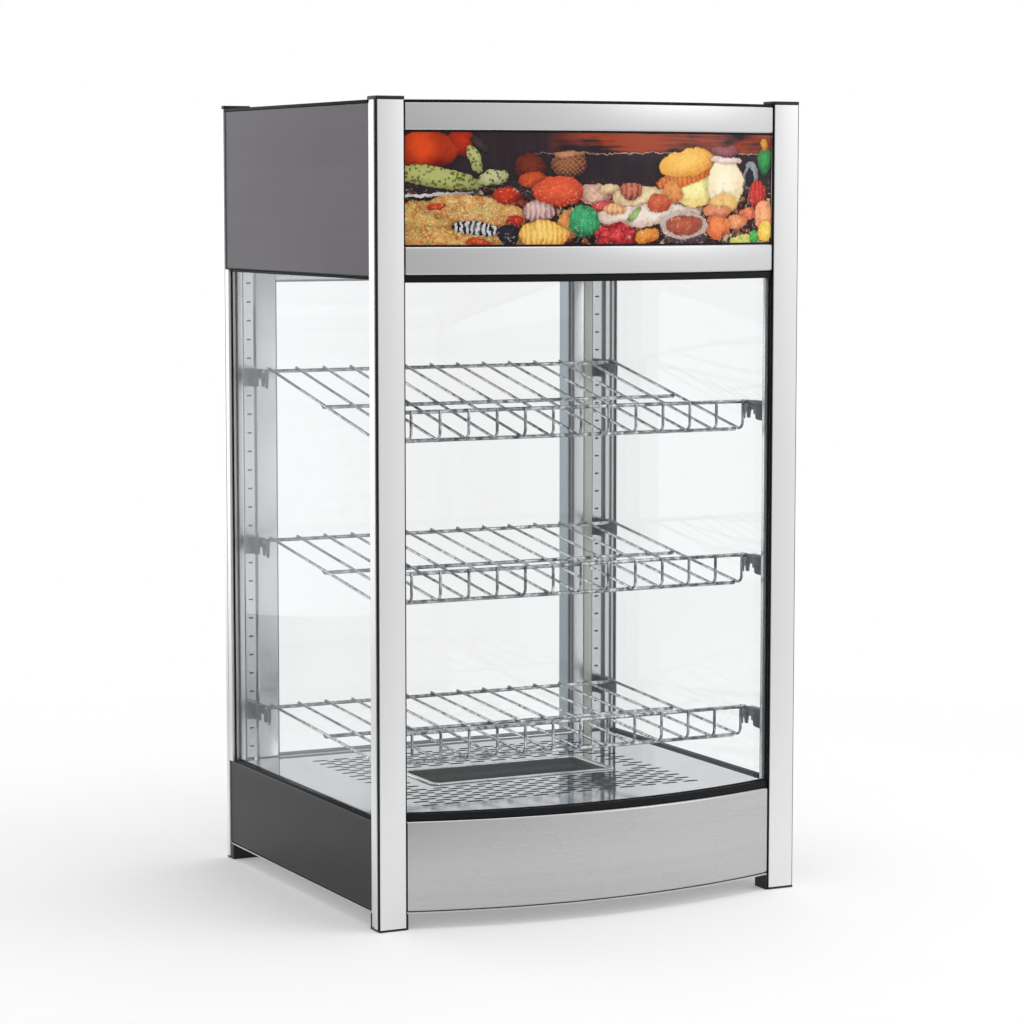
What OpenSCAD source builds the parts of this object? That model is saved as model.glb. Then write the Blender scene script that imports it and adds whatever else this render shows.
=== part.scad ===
// Countertop hot food display case: four corner posts, a bowed glass front, three wire
// shelves, a lit picture header, a heated base with a water tray and a rear glass door.
// Millimetres, +Z up, -Y is the customers' side. The origin is on the counter, under the
// middle of the case's outline.

/* [Body] */
// Width over the corner posts
case_w = 470; // [430:5:560]
// Height from the counter to the top of the post caps
case_h = 810; // [780:5:880]
// Depth over the corner posts
case_d = 404; // [384:4:444]
// How far the front bows out past the corner posts
bow = 32; // [20:1:40]
// Width of a corner post, seen from the front
post_w = 30; // [26:1:36]
// Depth of a front post
post_d = 22; // [20:1:26]

/* [Levels] */
// Underside of the base, which is the clear height above the counter
base_z = 16; // [12:1:24]
// Top of the floor plate
floor_z = 108; // [100:1:116]
// Underside of the header
header_z = 637; // [600:1:640]
// Height of each of the header's two front rails
rail_h = 27.5; // [20:0.5:34]

/* [Shelves] */
// Height of each shelf's rear wire, bottom shelf first
shelf_rear_z = [170, 350, 530];
// Height of each shelf's lip wire, bottom shelf first
shelf_lip_z = [183, 343, 503];
// Height of the lip at the front of a shelf
lip_h = 32; // [24:1:40]
// Number of wires in a shelf's deck
deck_wires = 14; // [10:1:18]
// Distance between the outermost deck wires
deck_w = 409.5; // [360:0.5:409.5]
// Diameter of a deck wire
deck_wire_d = 3; // [2.6:0.2:3.4]
// Diameter of the cross wires
cross_wire_d = 4; // [3.6:0.2:4.4]
// Height that a shelf lifts to come off its clips
shelf_lift = 30; // [20:1:40]

/* [Door] */
// Width of a door stile
stile_w = 23; // [18:1:28]
// Depth of the door's frame
door_t = 14; // [12:1:16]
// How far the handle reaches out behind the case
handle_reach = 28; // [22:1:34]
// Radius of a hinge pin
pin_r = 2; // [1.8:0.1:2.2]

/* [Base] */
// Outside width of the water tray's pan
tray_w = 202; // [160:1:240]
// Outside depth of the water tray's pan
tray_d = 80; // [60:1:100]
// Length of a slot in the floor plate
slot_l = 18; // [12:1:20]
// Radius of the knob
knob_r = 17; // [14:1:19]
// Bore of the cable gland
gland_r = 4.5; // [4:0.1:5.5]

/* [Hidden] */
$fn = 48;

fine = 360;                                  // facets of the bowed front's large arcs
half_w = case_w / 2;
open_w = half_w - post_w;                    // half the width between the posts
y_front = (bow - handle_reach - case_d) / 2; // front face of the front posts
y_rear = y_front + case_d;                   // rear face of the rear posts
sheet = 1.5;                                 // sheet metal thickness
gap = 0.3;                                   // clearance between neighbouring pieces
cap_t = 3.6;
foot_t = 2.4;
post_top = case_h - cap_t;
rear_post_t = 7;
panel_x = half_w - 1.5;                      // outer face of the side panels
side_y0 = y_front + post_d;                  // side panels and glass run from here...
side_y1 = y_rear - rear_post_t - gap;        // ...to here
rear_fill_y = y_rear - 18;                   // front face of the rear posts beside the glass
strip_w = 11;
strip_x = open_w + 0.5;                      // inner edge of the slotted strips
strip_t = 6.5;
recess_w = strip_w + 3.5;                    // leaves a shadow gap beside each strip
front_strip_y = side_y0 - 9 + strip_t;       // slotted face of the front strips
rear_strip_y = y_rear - rear_post_t - strip_t;

// The bowed front is a set of concentric arcs about one upright axis.
bow_half = open_w - 1;
bow_sag = bow + 1;
bow_r = (bow_half * bow_half + bow_sag * bow_sag) / (2 * bow_sag);
bow_y = y_front - bow + bow_r;

glass_t = 4;
glass_x = half_w - 8;                        // inner face of the side glass
front_glass_r = bow_r - 6;
seal_r = bow_r - 1;
seal_t = 12;
trim_h = 7;
top_trim_h = 5;                               // how far the upper seal shows below the header
side_trim_w = 4.5;
side_lip = 1.8;                               // height of the side glass seals' lips past their seats
upright_w = 4;
pull_flange = 20;                             // the pull's folded edge
header_top = post_top - sheet;
floor_side = panel_x - sheet - gap;
inner_back = rear_fill_y;
panel_back = y_rear - 2;                     // outer face of the rear panels
rear_panel_top = floor_z - 24;

tray_x = 5;
tray_y = 6;
tray_rim = 7;
tray_depth = 28;
row_pitch = 10;
slot_w = 6;                                  // leaves webs of 4 mm between the rows
slot_pitch = 25;
slot_rows = 14;                              // rows each side of the middle one
slot_cols = 6;

clip_w = 2.5;
clip_x = strip_x + 3;                        // inner face of the clips' plates
clip_h = 20;
clip_seat = 8;                               // height of a wire above its clip's slot
slot_z_step = 20;
wire_end = clip_x + clip_w + 2;
rear_wire_y = rear_strip_y - 43.5;
lip_wire_y = front_strip_y + 40.5;
mid_wire_y = (rear_wire_y + lip_wire_y) / 2;
weld = 0.8;                                  // how far crossing wires are fused together
wire_step = (deck_wire_d + cross_wire_d) / 2 - weld;
bend_r = 8;

door_half = open_w - 1.5;
door_y0 = y_rear - door_t - 2;
door_y1 = door_y0 + door_t;
door_z0 = floor_z - 21;
door_z1 = header_z - 3;
top_rail_h = 9;
bottom_rail_h = 22;
door_glass_y = door_y0 + 5;
groove = 5.5;                                // how far glass enters its frame
hinge_x = -open_w + 0.8;
hinge_y = y_rear + 3.8;
knuckle_r = 3.4;
knuckle_h = 20;
hinge_z = [floor_z + 30, header_z - 100];

element_r = 4;
element_z = 58;
element_half = 70;
lamp_y = y_front + 140;
lamp_z = header_z + 85;
lamp_half = 170;
knob_x = 110;
control_z = 50;
rocker_x = [10, 45];
rocker_half = 4.5;
rocker_r = 9.8;
rocker_tilt = 7;
rocker_y = panel_back - 4;
gland_x = -140;
screw_x = open_w - 9;

// ---------- shapes that several pieces share ----------

// Mirror image pair about the middle of the case
module both() {
    children();
    mirror([1, 0, 0]) children();
}

// A band that follows the bowed front: its outer radius, thickness and half width
module bow_band(r, t, half, z0, z1) {
    translate([0, 0, z0]) linear_extrude(z1 - z0) intersection() {
        translate([0, bow_y]) difference() {
            circle(r, $fn = fine);
            circle(r - t, $fn = fine);
        }
        translate([-half, y_front - bow - 1]) square([2 * half, bow + 40]);
    }
}

// Outline of a plate that fills the bow in front, between the posts and across the sides
module plan_outline(r, side, y_back) {
    translate([-side, side_y0]) square([2 * side, min(y_back, side_y1) - side_y0]);
    intersection() {
        translate([0, bow_y]) circle(r, $fn = fine);
        translate([-open_w + gap, y_front - bow - 1]) square([2 * (open_w - gap), y_back - y_front + bow + 1]);
    }
}

// A plate with that outline
module plan_plate(r, side, y_back, z0, t) {
    translate([0, 0, z0]) linear_extrude(t) plan_outline(r, side, y_back);
}

// A box from its low corner to its high corner
module block(low, high) {
    translate(low) cube(high - low);
}

// A round bar between two points that differ along X
module bar_x(x0, x1, y, z, r) {
    translate([x0, y, z]) rotate([0, 90, 0]) cylinder(h = x1 - x0, r = r);
}

// A round bar along Y
module bar_y(x, y0, y1, z, r) {
    translate([x, y1, z]) rotate([90, 0, 0]) cylinder(h = y1 - y0, r = r);
}

// ---------- frame ----------

// Section of the right front post: a thin face plate, a shadow groove, a hollow body and
// a recess behind for the slotted strip
module front_post_section() {
    face_t = 1.2;
    groove_w = 4.4;
    groove_d = 3;
    wall = 2;
    difference() {
        translate([open_w, y_front]) square([post_w, post_d]);
        translate([half_w - groove_d, y_front + face_t]) square([groove_d + 1, groove_w]);
        translate([open_w - 1, side_y0 - 9]) square([recess_w + 1, 10]);
        translate([open_w + wall, y_front + wall]) square([post_w - groove_d - 2 * wall, post_d - 13]);
        translate([open_w + recess_w + wall, y_front + wall])
            square([post_w - recess_w - groove_d - 2 * wall, post_d - 2 * wall]);
    }
}

module front_right_post() {
    color("gainsboro") translate([0, 0, foot_t]) linear_extrude(post_top - foot_t) front_post_section();
}

module front_left_post() {
    mirror([1, 0, 0]) front_right_post();
}

// A rear post is a flat bar, with a filler beside the side glass
module rear_right_post() {
    color("gainsboro") {
        block([open_w, y_rear - rear_post_t, foot_t], [half_w, y_rear, post_top]);
        block([open_w + recess_w, rear_fill_y, floor_z], [half_w, y_rear - rear_post_t, header_z]);
    }
}

module rear_left_post() {
    mirror([1, 0, 0]) rear_right_post();
}

module post_caps() {
    color("black") both() {
        block([open_w, y_front, post_top], [half_w, side_y0, case_h]);
        block([open_w, y_rear - 9, post_top], [half_w, y_rear, case_h]);
    }
}

// Moulded shoes: a pad under each post and a skirt on its inner faces
module post_feet() {
    skirt = 1.5;
    color("black") both() {
        block([open_w, y_front, 0], [half_w, side_y0, foot_t]);
        block([open_w - skirt, y_front + 1, 0], [open_w, side_y0, base_z - gap]);
        block([open_w - skirt, side_y0, 0], [half_w - 1, side_y0 + skirt, base_z - gap]);
        block([open_w - skirt, y_rear - rear_post_t - 10, 0], [half_w - 0.5, y_rear - rear_post_t, base_z - gap]);
        block([open_w, y_rear - rear_post_t, 0], [half_w, y_rear, foot_t]);
    }
}

// Folded channel with a row of slots that the shelf clips hook into
module slotted_strip(y_face, into, first_slot) {
    z0 = floor_z + 2;
    z1 = header_z - 2;
    wall = 1.2;
    y_back = y_face + into * strip_t;
    low_y = min(y_face, y_back);
    count = floor((z1 - first_slot) / slot_z_step);
    difference() {
        block([strip_x, low_y, z0], [strip_x + strip_w, low_y + strip_t, z1]);
        translate([strip_x + wall, low_y + (into > 0 ? wall : -1), z0 - 1])
            cube([strip_w - 2 * wall, strip_t - wall + 1, z1 - z0 + 2]);
        for (k = [0:count])
            translate([strip_x + 2, y_face - 2, first_slot + k * slot_z_step - 1.3]) cube([6.5, 4, 2.6]);
    }
}

module front_slotted_strips() {
    color("silver") both() slotted_strip(front_strip_y, -1, shelf_lip_z[0] - clip_seat - 3 * slot_z_step);
}

module rear_slotted_strips() {
    color("silver") both() slotted_strip(rear_strip_y, 1, shelf_rear_z[0] - clip_seat - 2 * slot_z_step);
}

// ---------- base ----------

module side_panel(z0, z1, flange_z) {
    block([panel_x - sheet, side_y0, z0], [panel_x, side_y1, z1]);
    block([panel_x - 12, side_y0 + 5, flange_z], [panel_x - sheet, inner_back - 2, flange_z + 1.2]);
}

module base_right_panel() {
    color("dimgray") side_panel(base_z + sheet, floor_z, floor_z - sheet - 1.2);
}

module base_left_panel() {
    mirror([1, 0, 0]) base_right_panel();
}

module base_front_panel() {
    color("darkgray") bow_band(bow_r, sheet, bow_half, base_z + sheet, floor_z - 0.5);
}

module base_rear_panel() {
    color("darkgray") difference() {
        union() {
            block([-open_w + gap, panel_back - sheet, base_z + sheet], [open_w - gap, panel_back, rear_panel_top]);
            block([-open_w + gap, inner_back + gap, rear_panel_top - 1.2], [open_w - gap, panel_back, rear_panel_top]);
        }
        bar_y(knob_x, panel_back - 5, panel_back + 5, control_z, 5.1);
        bar_y(gland_x, panel_back - 5, panel_back + 5, control_z, 8.1);
        for (x = rocker_x)
            block([x - 6.6, panel_back - 5, control_z - 12.1], [x + 6.6, panel_back + 5, control_z + 12.1]);
        for (x = [-screw_x, screw_x], z = [base_z + 14, rear_panel_top - 12])
            bar_y(x, panel_back - 5, panel_back + 5, z, 1.6);
    }
}

module base_bottom_pan() {
    vent_l = 60;
    color("silver") translate([0, 0, base_z]) linear_extrude(sheet) difference() {
        plan_outline(bow_r, panel_x, panel_back);
        for (x = [-100, 0, 100], k = [0:4]) translate([x - vent_l / 2, -20 + k * 12]) square([vent_l, 4]);
    }
}

module floor_plate() {
    cut = 1;
    hole_w = tray_w + 2 * cut;
    hole_d = tray_d + 2 * cut;
    keep = 12;
    color("lightgray") {
        translate([0, 0, floor_z - sheet]) linear_extrude(sheet) difference() {
            plan_outline(seal_r - seal_t - gap, floor_side, inner_back);
            translate([tray_x - hole_w / 2, tray_y - hole_d / 2]) square([hole_w, hole_d]);
            for (row = [-slot_rows:slot_rows], col = [-slot_cols:slot_cols]) {
                x = (col + (row % 2 == 0 ? 0 : 0.5)) * slot_pitch;
                y = tray_y + row * row_pitch;
                clear_of_tray = abs(x - tray_x) > hole_w / 2 + slot_l / 2 + keep
                    || abs(y - tray_y) > hole_d / 2 + keep;
                if (clear_of_tray && abs(x) < 6.2 * slot_pitch)
                    translate([x - slot_l / 2, y - slot_w / 2]) square([slot_l, slot_w]);
            }
        }
        block([-open_w + gap, inner_back - 1.2, rear_panel_top - 1.2], [open_w - gap, inner_back, floor_z - sheet]);
    }
}

module water_tray() {
    wall = 1.2;
    rim_z = floor_z + gap;
    color("silver") translate([tray_x, tray_y, 0]) difference() {
        union() {
            block([-tray_w / 2, -tray_d / 2, rim_z - tray_depth], [tray_w / 2, tray_d / 2, rim_z]);
            block([-tray_w / 2 - tray_rim, -tray_d / 2 - tray_rim, rim_z],
                  [tray_w / 2 + tray_rim, tray_d / 2 + tray_rim, rim_z + wall]);
        }
        block([-tray_w / 2 + wall, -tray_d / 2 + wall, rim_z - tray_depth + wall],
              [tray_w / 2 - wall, tray_d / 2 - wall, rim_z + 5]);
    }
}

// Tubular heater bent into a U, with its two cold ends towards the rear
module heating_element() {
    y_bend = -60;
    y_end = 140;
    color("gray") {
        for (x = [-element_half, element_half]) {
            bar_y(x, y_bend, y_end, element_z, element_r);
            bar_y(x, y_end, y_end + 14, element_z, 2.4);
        }
        translate([0, y_bend, element_z]) rotate([0, 0, 180])
            rotate_extrude(angle = 180, $fn = 96) translate([element_half, 0]) circle(element_r);
    }
}

module element_brackets() {
    color("silver") for (y = [-45, 110]) difference() {
        block([-element_half - 12, y - 1, base_z + sheet], [element_half + 12, y + 1, element_z]);
        for (x = [-element_half, element_half]) bar_y(x, y - 3, y + 3, element_z, element_r + 0.2);
    }
}

module thermostat_body() {
    bush_r = 5;
    color("black") difference() {
        union() {
            block([knob_x - 18, panel_back - sheet - 30, control_z - 18],
                  [knob_x + 18, panel_back - sheet, control_z + 18]);
            bar_y(knob_x, panel_back - sheet - 1, panel_back + 1.5, control_z, bush_r);
        }
        bar_y(knob_x, panel_back - 14, panel_back + 5, control_z, 3.05);
    }
}

module thermostat_knob() {
    y0 = panel_back + 2;
    color("black") {
        bar_y(knob_x, panel_back - 12, y0 + 1, control_z, 3);
        bar_y(knob_x, y0, y0 + 4, control_z, knob_r);
        bar_y(knob_x, y0 + 4, y0 + 16, control_z, knob_r - 4);
        block([knob_x - 3, y0 + 4, control_z], [knob_x + 3, y0 + 18, control_z + knob_r - 1]);
    }
}

module switch_housings() {
    color("black") for (x = rocker_x) difference() {
        union() {
            block([x - 6.5, panel_back - 18, control_z - 12], [x + 6.5, panel_back, control_z + 12]);
            block([x - 8, panel_back, control_z - 14], [x + 8, panel_back + 1.5, control_z + 14]);
        }
        block([x - rocker_half - gap, panel_back - 15, control_z - rocker_r - gap],
              [x + rocker_half + gap, panel_back + 5, control_z + rocker_r + gap]);
        bar_x(x - rocker_half - 1.4, x + rocker_half + 1.4, rocker_y, control_z, 1.25);
    }
}

// A rocker with a shallow V face, turned to its off position, on its two moulded pins
module rocker(x) {
    translate([x, rocker_y, control_z]) rotate([rocker_tilt, 0, 0]) {
        intersection() {
            rotate([0, 90, 0]) cylinder(h = 2 * rocker_half, r = rocker_r, center = true, $fn = 64);
            rotate([90, 0, 90]) linear_extrude(2 * rocker_half, center = true)
                polygon([[-5, -7], [-5, 7], [0, 10], [7.6, 10], [5, 0], [7.6, -10], [0, -10]]);
        }
        rotate([0, 90, 0]) cylinder(h = 2 * rocker_half + 2.2, r = 1.2, center = true);
    }
}

module power_rocker() {
    color("crimson") rocker(rocker_x[1]);
}

module light_rocker() {
    color("black") rocker(rocker_x[0]);
}

module cable_gland() {
    color("black") difference() {
        union() {
            bar_y(gland_x, panel_back - 14, panel_back + 4, control_z, 8);
            bar_y(gland_x, panel_back - 9, panel_back - sheet, control_z, 12);
            bar_y(gland_x, panel_back, panel_back + 5, control_z, 12);
            bar_y(gland_x, panel_back + 4, panel_back + 16, control_z, 9.5);
        }
        bar_y(gland_x, panel_back - 16, panel_back + 18, control_z, gland_r);
    }
}

// ---------- header ----------

module header_right_panel() {
    color("gray") side_panel(header_z, header_top, header_z + 2.2);
}

module header_left_panel() {
    mirror([1, 0, 0]) header_right_panel();
}

module header_top_cover() {
    color("gray") plan_plate(bow_r, panel_x, panel_back, header_top, sheet);
}

module header_top_rail() {
    color("darkgray") bow_band(bow_r, sheet, bow_half, header_top - rail_h, header_top);
}

module header_bottom_rail() {
    color("darkgray") bow_band(bow_r, sheet, bow_half, header_z + 2, header_z + 2 + rail_h);
}

module header_picture() {
    color("orangered") bow_band(bow_r - 1, 3, bow_half, header_z + 2 + rail_h, header_top - rail_h);
}

module header_rear_panel() {
    vent_h = 40;
    color("darkgray") difference() {
        union() {
            block([-open_w + gap, panel_back - sheet, header_z], [open_w - gap, panel_back, header_top]);
            block([-open_w + gap, door_y0 + gap, header_z], [open_w - gap, panel_back, header_z + 1.2]);
        }
        for (k = [-7:7]) translate([k * 12 - 2, panel_back - 5, lamp_z]) cube([4, 10, vent_h]);
        for (x = [-screw_x, screw_x], z = [header_z + 14, header_top - 14])
            bar_y(x, panel_back - 5, panel_back + 5, z, 1.6);
    }
}

module ceiling_panel() {
    color("lightgray") difference() {
        plan_plate(seal_r - seal_t - gap, floor_side, inner_back, header_z + 0.5, sheet);
        block([-150, lamp_y - 40, header_z], [150, lamp_y + 40, header_z + 3]);
    }
}

module light_diffuser() {
    color("white", 0.7) {
        block([-150, lamp_y - 40, header_z + 0.5], [150, lamp_y + 40, header_z + 2]);
        block([-156, lamp_y - 46, header_z + 2], [156, lamp_y + 46, header_z + 4]);
    }
}

module lamp_tube() {
    color("white") {
        bar_x(-lamp_half + 12, lamp_half - 12, lamp_y, lamp_z, 8);
        bar_x(-lamp_half, -lamp_half + 12, lamp_y, lamp_z, 8.6);
        bar_x(lamp_half - 12, lamp_half, lamp_y, lamp_z, 8.6);
    }
}

module lamp_holders() {
    color("white") both() difference() {
        block([lamp_half - 6, lamp_y - 12, header_z + 4.2], [lamp_half + 6, lamp_y + 12, lamp_z + 12]);
        bar_x(lamp_half - 8, lamp_half + 0.2, lamp_y, lamp_z, 8.8);
    }
}

module lamp_driver() {
    color("white") block([-60, 110, header_z + 2], [60, 150, header_z + 30]);
}

// ---------- glass and seals ----------

module front_glass() {
    color("azure", 0.35) bow_band(front_glass_r, glass_t, open_w - 3, floor_z + 3, header_z - 2);
}

module right_glass() {
    color("azure", 0.35)
        block([glass_x, side_y0 + gap, floor_z + 1.5], [glass_x + glass_t, rear_fill_y - 2, header_z - 1.5]);
}

module left_glass() {
    mirror([1, 0, 0]) right_glass();
}

module front_top_seal() {
    color("black") difference() {
        bow_band(seal_r, seal_t, open_w - gap, header_z - top_trim_h, header_z + 2 - gap);
        bow_band(front_glass_r, glass_t, open_w - 3, header_z - 10, header_z - 2);
    }
}

module front_bottom_seal() {
    color("black") difference() {
        bow_band(seal_r, seal_t, open_w - gap, floor_z - 0.5, floor_z - 0.5 + trim_h);
        bow_band(front_glass_r, glass_t, open_w - 3, floor_z + 3, floor_z + 20);
    }
}

module front_side_seals() {
    z0 = floor_z - 0.5 + trim_h;
    color("black") difference() {
        both() block([open_w - side_trim_w, y_front + 3, z0], [open_w - 0.2, y_front + 14, header_z - top_trim_h]);
        bow_band(front_glass_r, glass_t, open_w - 3, floor_z + 3, header_z - 2);
    }
}

// Channels under and over each side glass, and an upright seal at its rear edge
module side_glass_seals() {
    seat = 1.5;
    x0 = glass_x - seat;
    x1 = glass_x + glass_t + seat;
    z0 = floor_z + 1.5 + side_lip;
    z1 = header_z - 1.5 - side_lip;
    color("black") difference() {
        both() {
            block([x0, side_y0 + gap, floor_z], [x1, rear_fill_y, z0]);
            block([x0, rear_fill_y - upright_w, z0], [x1, rear_fill_y, z1]);
            block([x0, side_y0 + gap, z1], [x1, rear_fill_y, header_z]);
        }
        both() block([glass_x, side_y0 - 1, floor_z + 1.5], [glass_x + glass_t, rear_fill_y - 2, header_z - 1.5]);
    }
}

// ---------- shelves ----------

// Pressed clip: an upright plate with an open seat for a wire end, a top flange and a
// tongue that enters a slot of the strip. dir is the way from the strip to the wire.
module shelf_clip(y_face, y_wire, z_wire, dir) {
    z_slot = z_wire - clip_seat;
    reach = abs(y_wire - y_face) + 7;
    seat_r = cross_wire_d / 2 + gap;
    x1 = clip_x + clip_w;
    translate([0, y_face, 0]) mirror([0, dir < 0 ? 1 : 0, 0]) difference() {
        union() {
            block([clip_x, 0.1, z_wire + 2 - clip_h], [x1, reach, z_wire + 2]);
            block([x1 - 1, 0.1, z_wire + 0.6], [x1 + 5, reach - 14, z_wire + 2]);
            block([clip_x - 0.8, -3.5, z_slot - 0.9], [clip_x + 4, 0.3, z_slot + 0.9]);
            block([clip_x - 0.8, -3.5, z_slot - 4], [clip_x + 4, -1.9, z_slot + 0.9]);
        }
        translate([clip_x - 2, reach - 7, z_wire]) rotate([0, 90, 0]) cylinder(h = 12, r = seat_r);
        block([clip_x - 2, reach - 7 - seat_r, z_wire], [x1 + 7, reach - 7 + seat_r, z_wire + 5]);
        block([clip_x - 2, reach - 30, z_wire - 20], [x1 + 2, reach - 24, z_wire - 10]);
    }
}

module shelf_clips() {
    color("darkgray") both() for (k = [0:2]) {
        shelf_clip(rear_strip_y, rear_wire_y, shelf_rear_z[k], -1);
        shelf_clip(front_strip_y, lip_wire_y, shelf_lip_z[k], 1);
    }
}

function deck_front_z(k) = shelf_lip_z[k] - lip_h;
function deck_angle(k) = atan((shelf_rear_z[k] - deck_front_z(k)) / (rear_wire_y - lip_wire_y));
// Height of a deck wire's centre line at a given y
function deck_z(k, y) = shelf_rear_z[k] + wire_step / cos(deck_angle(k))
    + (y - rear_wire_y) * tan(deck_angle(k));
function wire_x(i) = -deck_w / 2 + i * deck_w / (deck_wires - 1);
// The upright part of each wire stands just in front of the lip wire
bar_y0 = lip_wire_y - wire_step;
function bend_centre(k) = [bar_y0 + bend_r, deck_z(k, bar_y0 + bend_r) + bend_r / cos(deck_angle(k))];
function bend_start(k) = bend_centre(k) + bend_r * [sin(deck_angle(k)), -cos(deck_angle(k))];

// Deck wires and the three cross wires welded under them
module shelf_deck(k) {
    a = deck_angle(k);
    start = bend_start(k);
    tail = rear_wire_y + 3;
    length = (tail - start[0]) / cos(a);
    for (i = [0:deck_wires - 1])
        translate([wire_x(i), start[0], start[1]]) rotate([a - 90, 0, 0])
            cylinder(h = length, r = deck_wire_d / 2, $fn = 24);
    bar_x(-wire_end, wire_end, rear_wire_y, shelf_rear_z[k], cross_wire_d / 2);
    for (y = [mid_wire_y, start[0] + 6])
        bar_x(-deck_w / 2 - 1, deck_w / 2 + 1, y, deck_z(k, y) - wire_step / cos(a), cross_wire_d / 2);
}

// The same wires turned up at the front, and the lip wire that ties them
module shelf_lip(k) {
    centre = bend_centre(k);
    for (i = [0:deck_wires - 1]) translate([wire_x(i), 0, 0]) {
        translate([0, centre[0], centre[1]]) rotate([90, 0, 90]) rotate([0, 0, 180])
            rotate_extrude(angle = 90 + deck_angle(k), $fn = 64)
                translate([bend_r, 0]) circle(deck_wire_d / 2, $fn = 24);
        translate([0, bar_y0, centre[1]])
            cylinder(h = shelf_lip_z[k] + 1.5 - centre[1], r = deck_wire_d / 2, $fn = 24);
    }
    bar_x(-wire_end, wire_end, lip_wire_y, shelf_lip_z[k], cross_wire_d / 2);
}

module bottom_shelf_deck() { color("silver") shelf_deck(0); }
module bottom_shelf_lip() { color("silver") shelf_lip(0); }
module middle_shelf_deck() { color("silver") shelf_deck(1); }
module middle_shelf_lip() { color("silver") shelf_lip(1); }
module top_shelf_deck() { color("silver") shelf_deck(2); }
module top_shelf_lip() { color("silver") shelf_lip(2); }

// ---------- rear door ----------

module door_glass() {
    color("azure", 0.35)
        block([-door_half + stile_w - groove, door_glass_y, door_z0 + bottom_rail_h - groove],
              [door_half - stile_w + groove, door_glass_y + glass_t, door_z1 - top_rail_h + groove]);
}

module glass_groove() {
    block([-door_half + stile_w - groove, door_glass_y, door_z0 + bottom_rail_h - groove],
          [door_half - stile_w + groove, door_glass_y + glass_t, door_z1 - top_rail_h + groove]);
}

module door_latch_stile() {
    color("silver") difference() {
        block([door_half - stile_w, door_y0, door_z0], [door_half, door_y1, door_z1]);
        glass_groove();
    }
}

module door_hinge_stile() {
    color("silver") difference() {
        block([-door_half, door_y0, door_z0], [-door_half + stile_w, door_y1, door_z1]);
        glass_groove();
    }
}

module door_top_rail() {
    color("silver") difference() {
        block([-door_half + stile_w, door_y0, door_z1 - top_rail_h], [door_half - stile_w, door_y1, door_z1]);
        glass_groove();
    }
}

module door_bottom_rail() {
    color("silver") difference() {
        block([-door_half + stile_w, door_y0, door_z0], [door_half - stile_w, door_y1, door_z0 + bottom_rail_h]);
        glass_groove();
    }
}

// Full-height pull: a foot on the latch stile, a web and a grip flange
module door_handle() {
    x_web = door_half - stile_w + 3;
    y1 = y_rear + handle_reach;
    color("silver") translate([0, 0, door_z0 + 8]) linear_extrude(door_z1 - door_z0 - 16) {
        translate([x_web, door_y1]) square([pull_flange - 2.5, 2]);
        translate([x_web, door_y1]) square([2, y1 - door_y1]);
        translate([x_web, y1 - 2]) square([pull_flange, 2]);
        translate([x_web + pull_flange - 2, y1 - 7]) square([2, 7]);
    }
}

module knuckle(z, h, bore) {
    translate([hinge_x, hinge_y, z]) difference() {
        children();
        translate([0, 0, -1]) cylinder(h = h + 2, r = bore);
    }
}

module door_hinge_leaves() {
    bore = pin_r + 0.05;
    color("silver") for (z = hinge_z) {
        knuckle(z + knuckle_h + gap, knuckle_h - 2 * gap, bore) {
            cylinder(h = knuckle_h - 2 * gap, r = knuckle_r);
            translate([0, -hinge_y + door_y1, 0])
                cube([knuckle_r, hinge_y - door_y1, knuckle_h - 2 * gap]);
        }
        block([hinge_x + 1.6, door_y1, z], [-door_half + stile_w - 1, door_y1 + 1.4, z + 3 * knuckle_h]);
    }
}

module post_hinge_leaves() {
    color("silver") for (z = hinge_z) {
        for (k = [0, 2]) knuckle(z + k * knuckle_h, knuckle_h, pin_r + 0.02) {
            cylinder(h = knuckle_h, r = knuckle_r);
            translate([-3, y_rear - hinge_y, 0]) cube([3, hinge_y - y_rear, knuckle_h]);
        }
        block([hinge_x - 20, y_rear, z], [hinge_x - 3.8, y_rear + 1.4, z + 3 * knuckle_h]);
        for (k = [0, 2])
            block([hinge_x - 4, y_rear, z + k * knuckle_h], [hinge_x - 2.6, y_rear + 1.4, z + (k + 1) * knuckle_h]);
    }
}

module hinge_pins() {
    color("gray") for (z = hinge_z) {
        translate([hinge_x, hinge_y, z]) cylinder(h = 3 * knuckle_h, r = pin_r);
        translate([hinge_x, hinge_y, z + 3 * knuckle_h]) cylinder(h = 1.5, r = pin_r + 1);
    }
}

module magnet_catch() {
    color("white") block([150, door_y0 - 13, header_z - 14], [190, door_y0 - 0.6, header_z + 0.5]);
}

// Pan-head screws of the two rear panels
module panel_screws() {
    module screw(x, z) {
        bar_y(x, panel_back - 6, panel_back + 0.5, z, 1.5);
        bar_y(x, panel_back, panel_back + 1.8, z, 3.6);
    }
    color("silver") for (x = [-screw_x, screw_x]) {
        for (z = [header_z + 14, header_top - 14]) screw(x, z);
        for (z = [base_z + 14, rear_panel_top - 12]) screw(x, z);
    }
}

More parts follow.
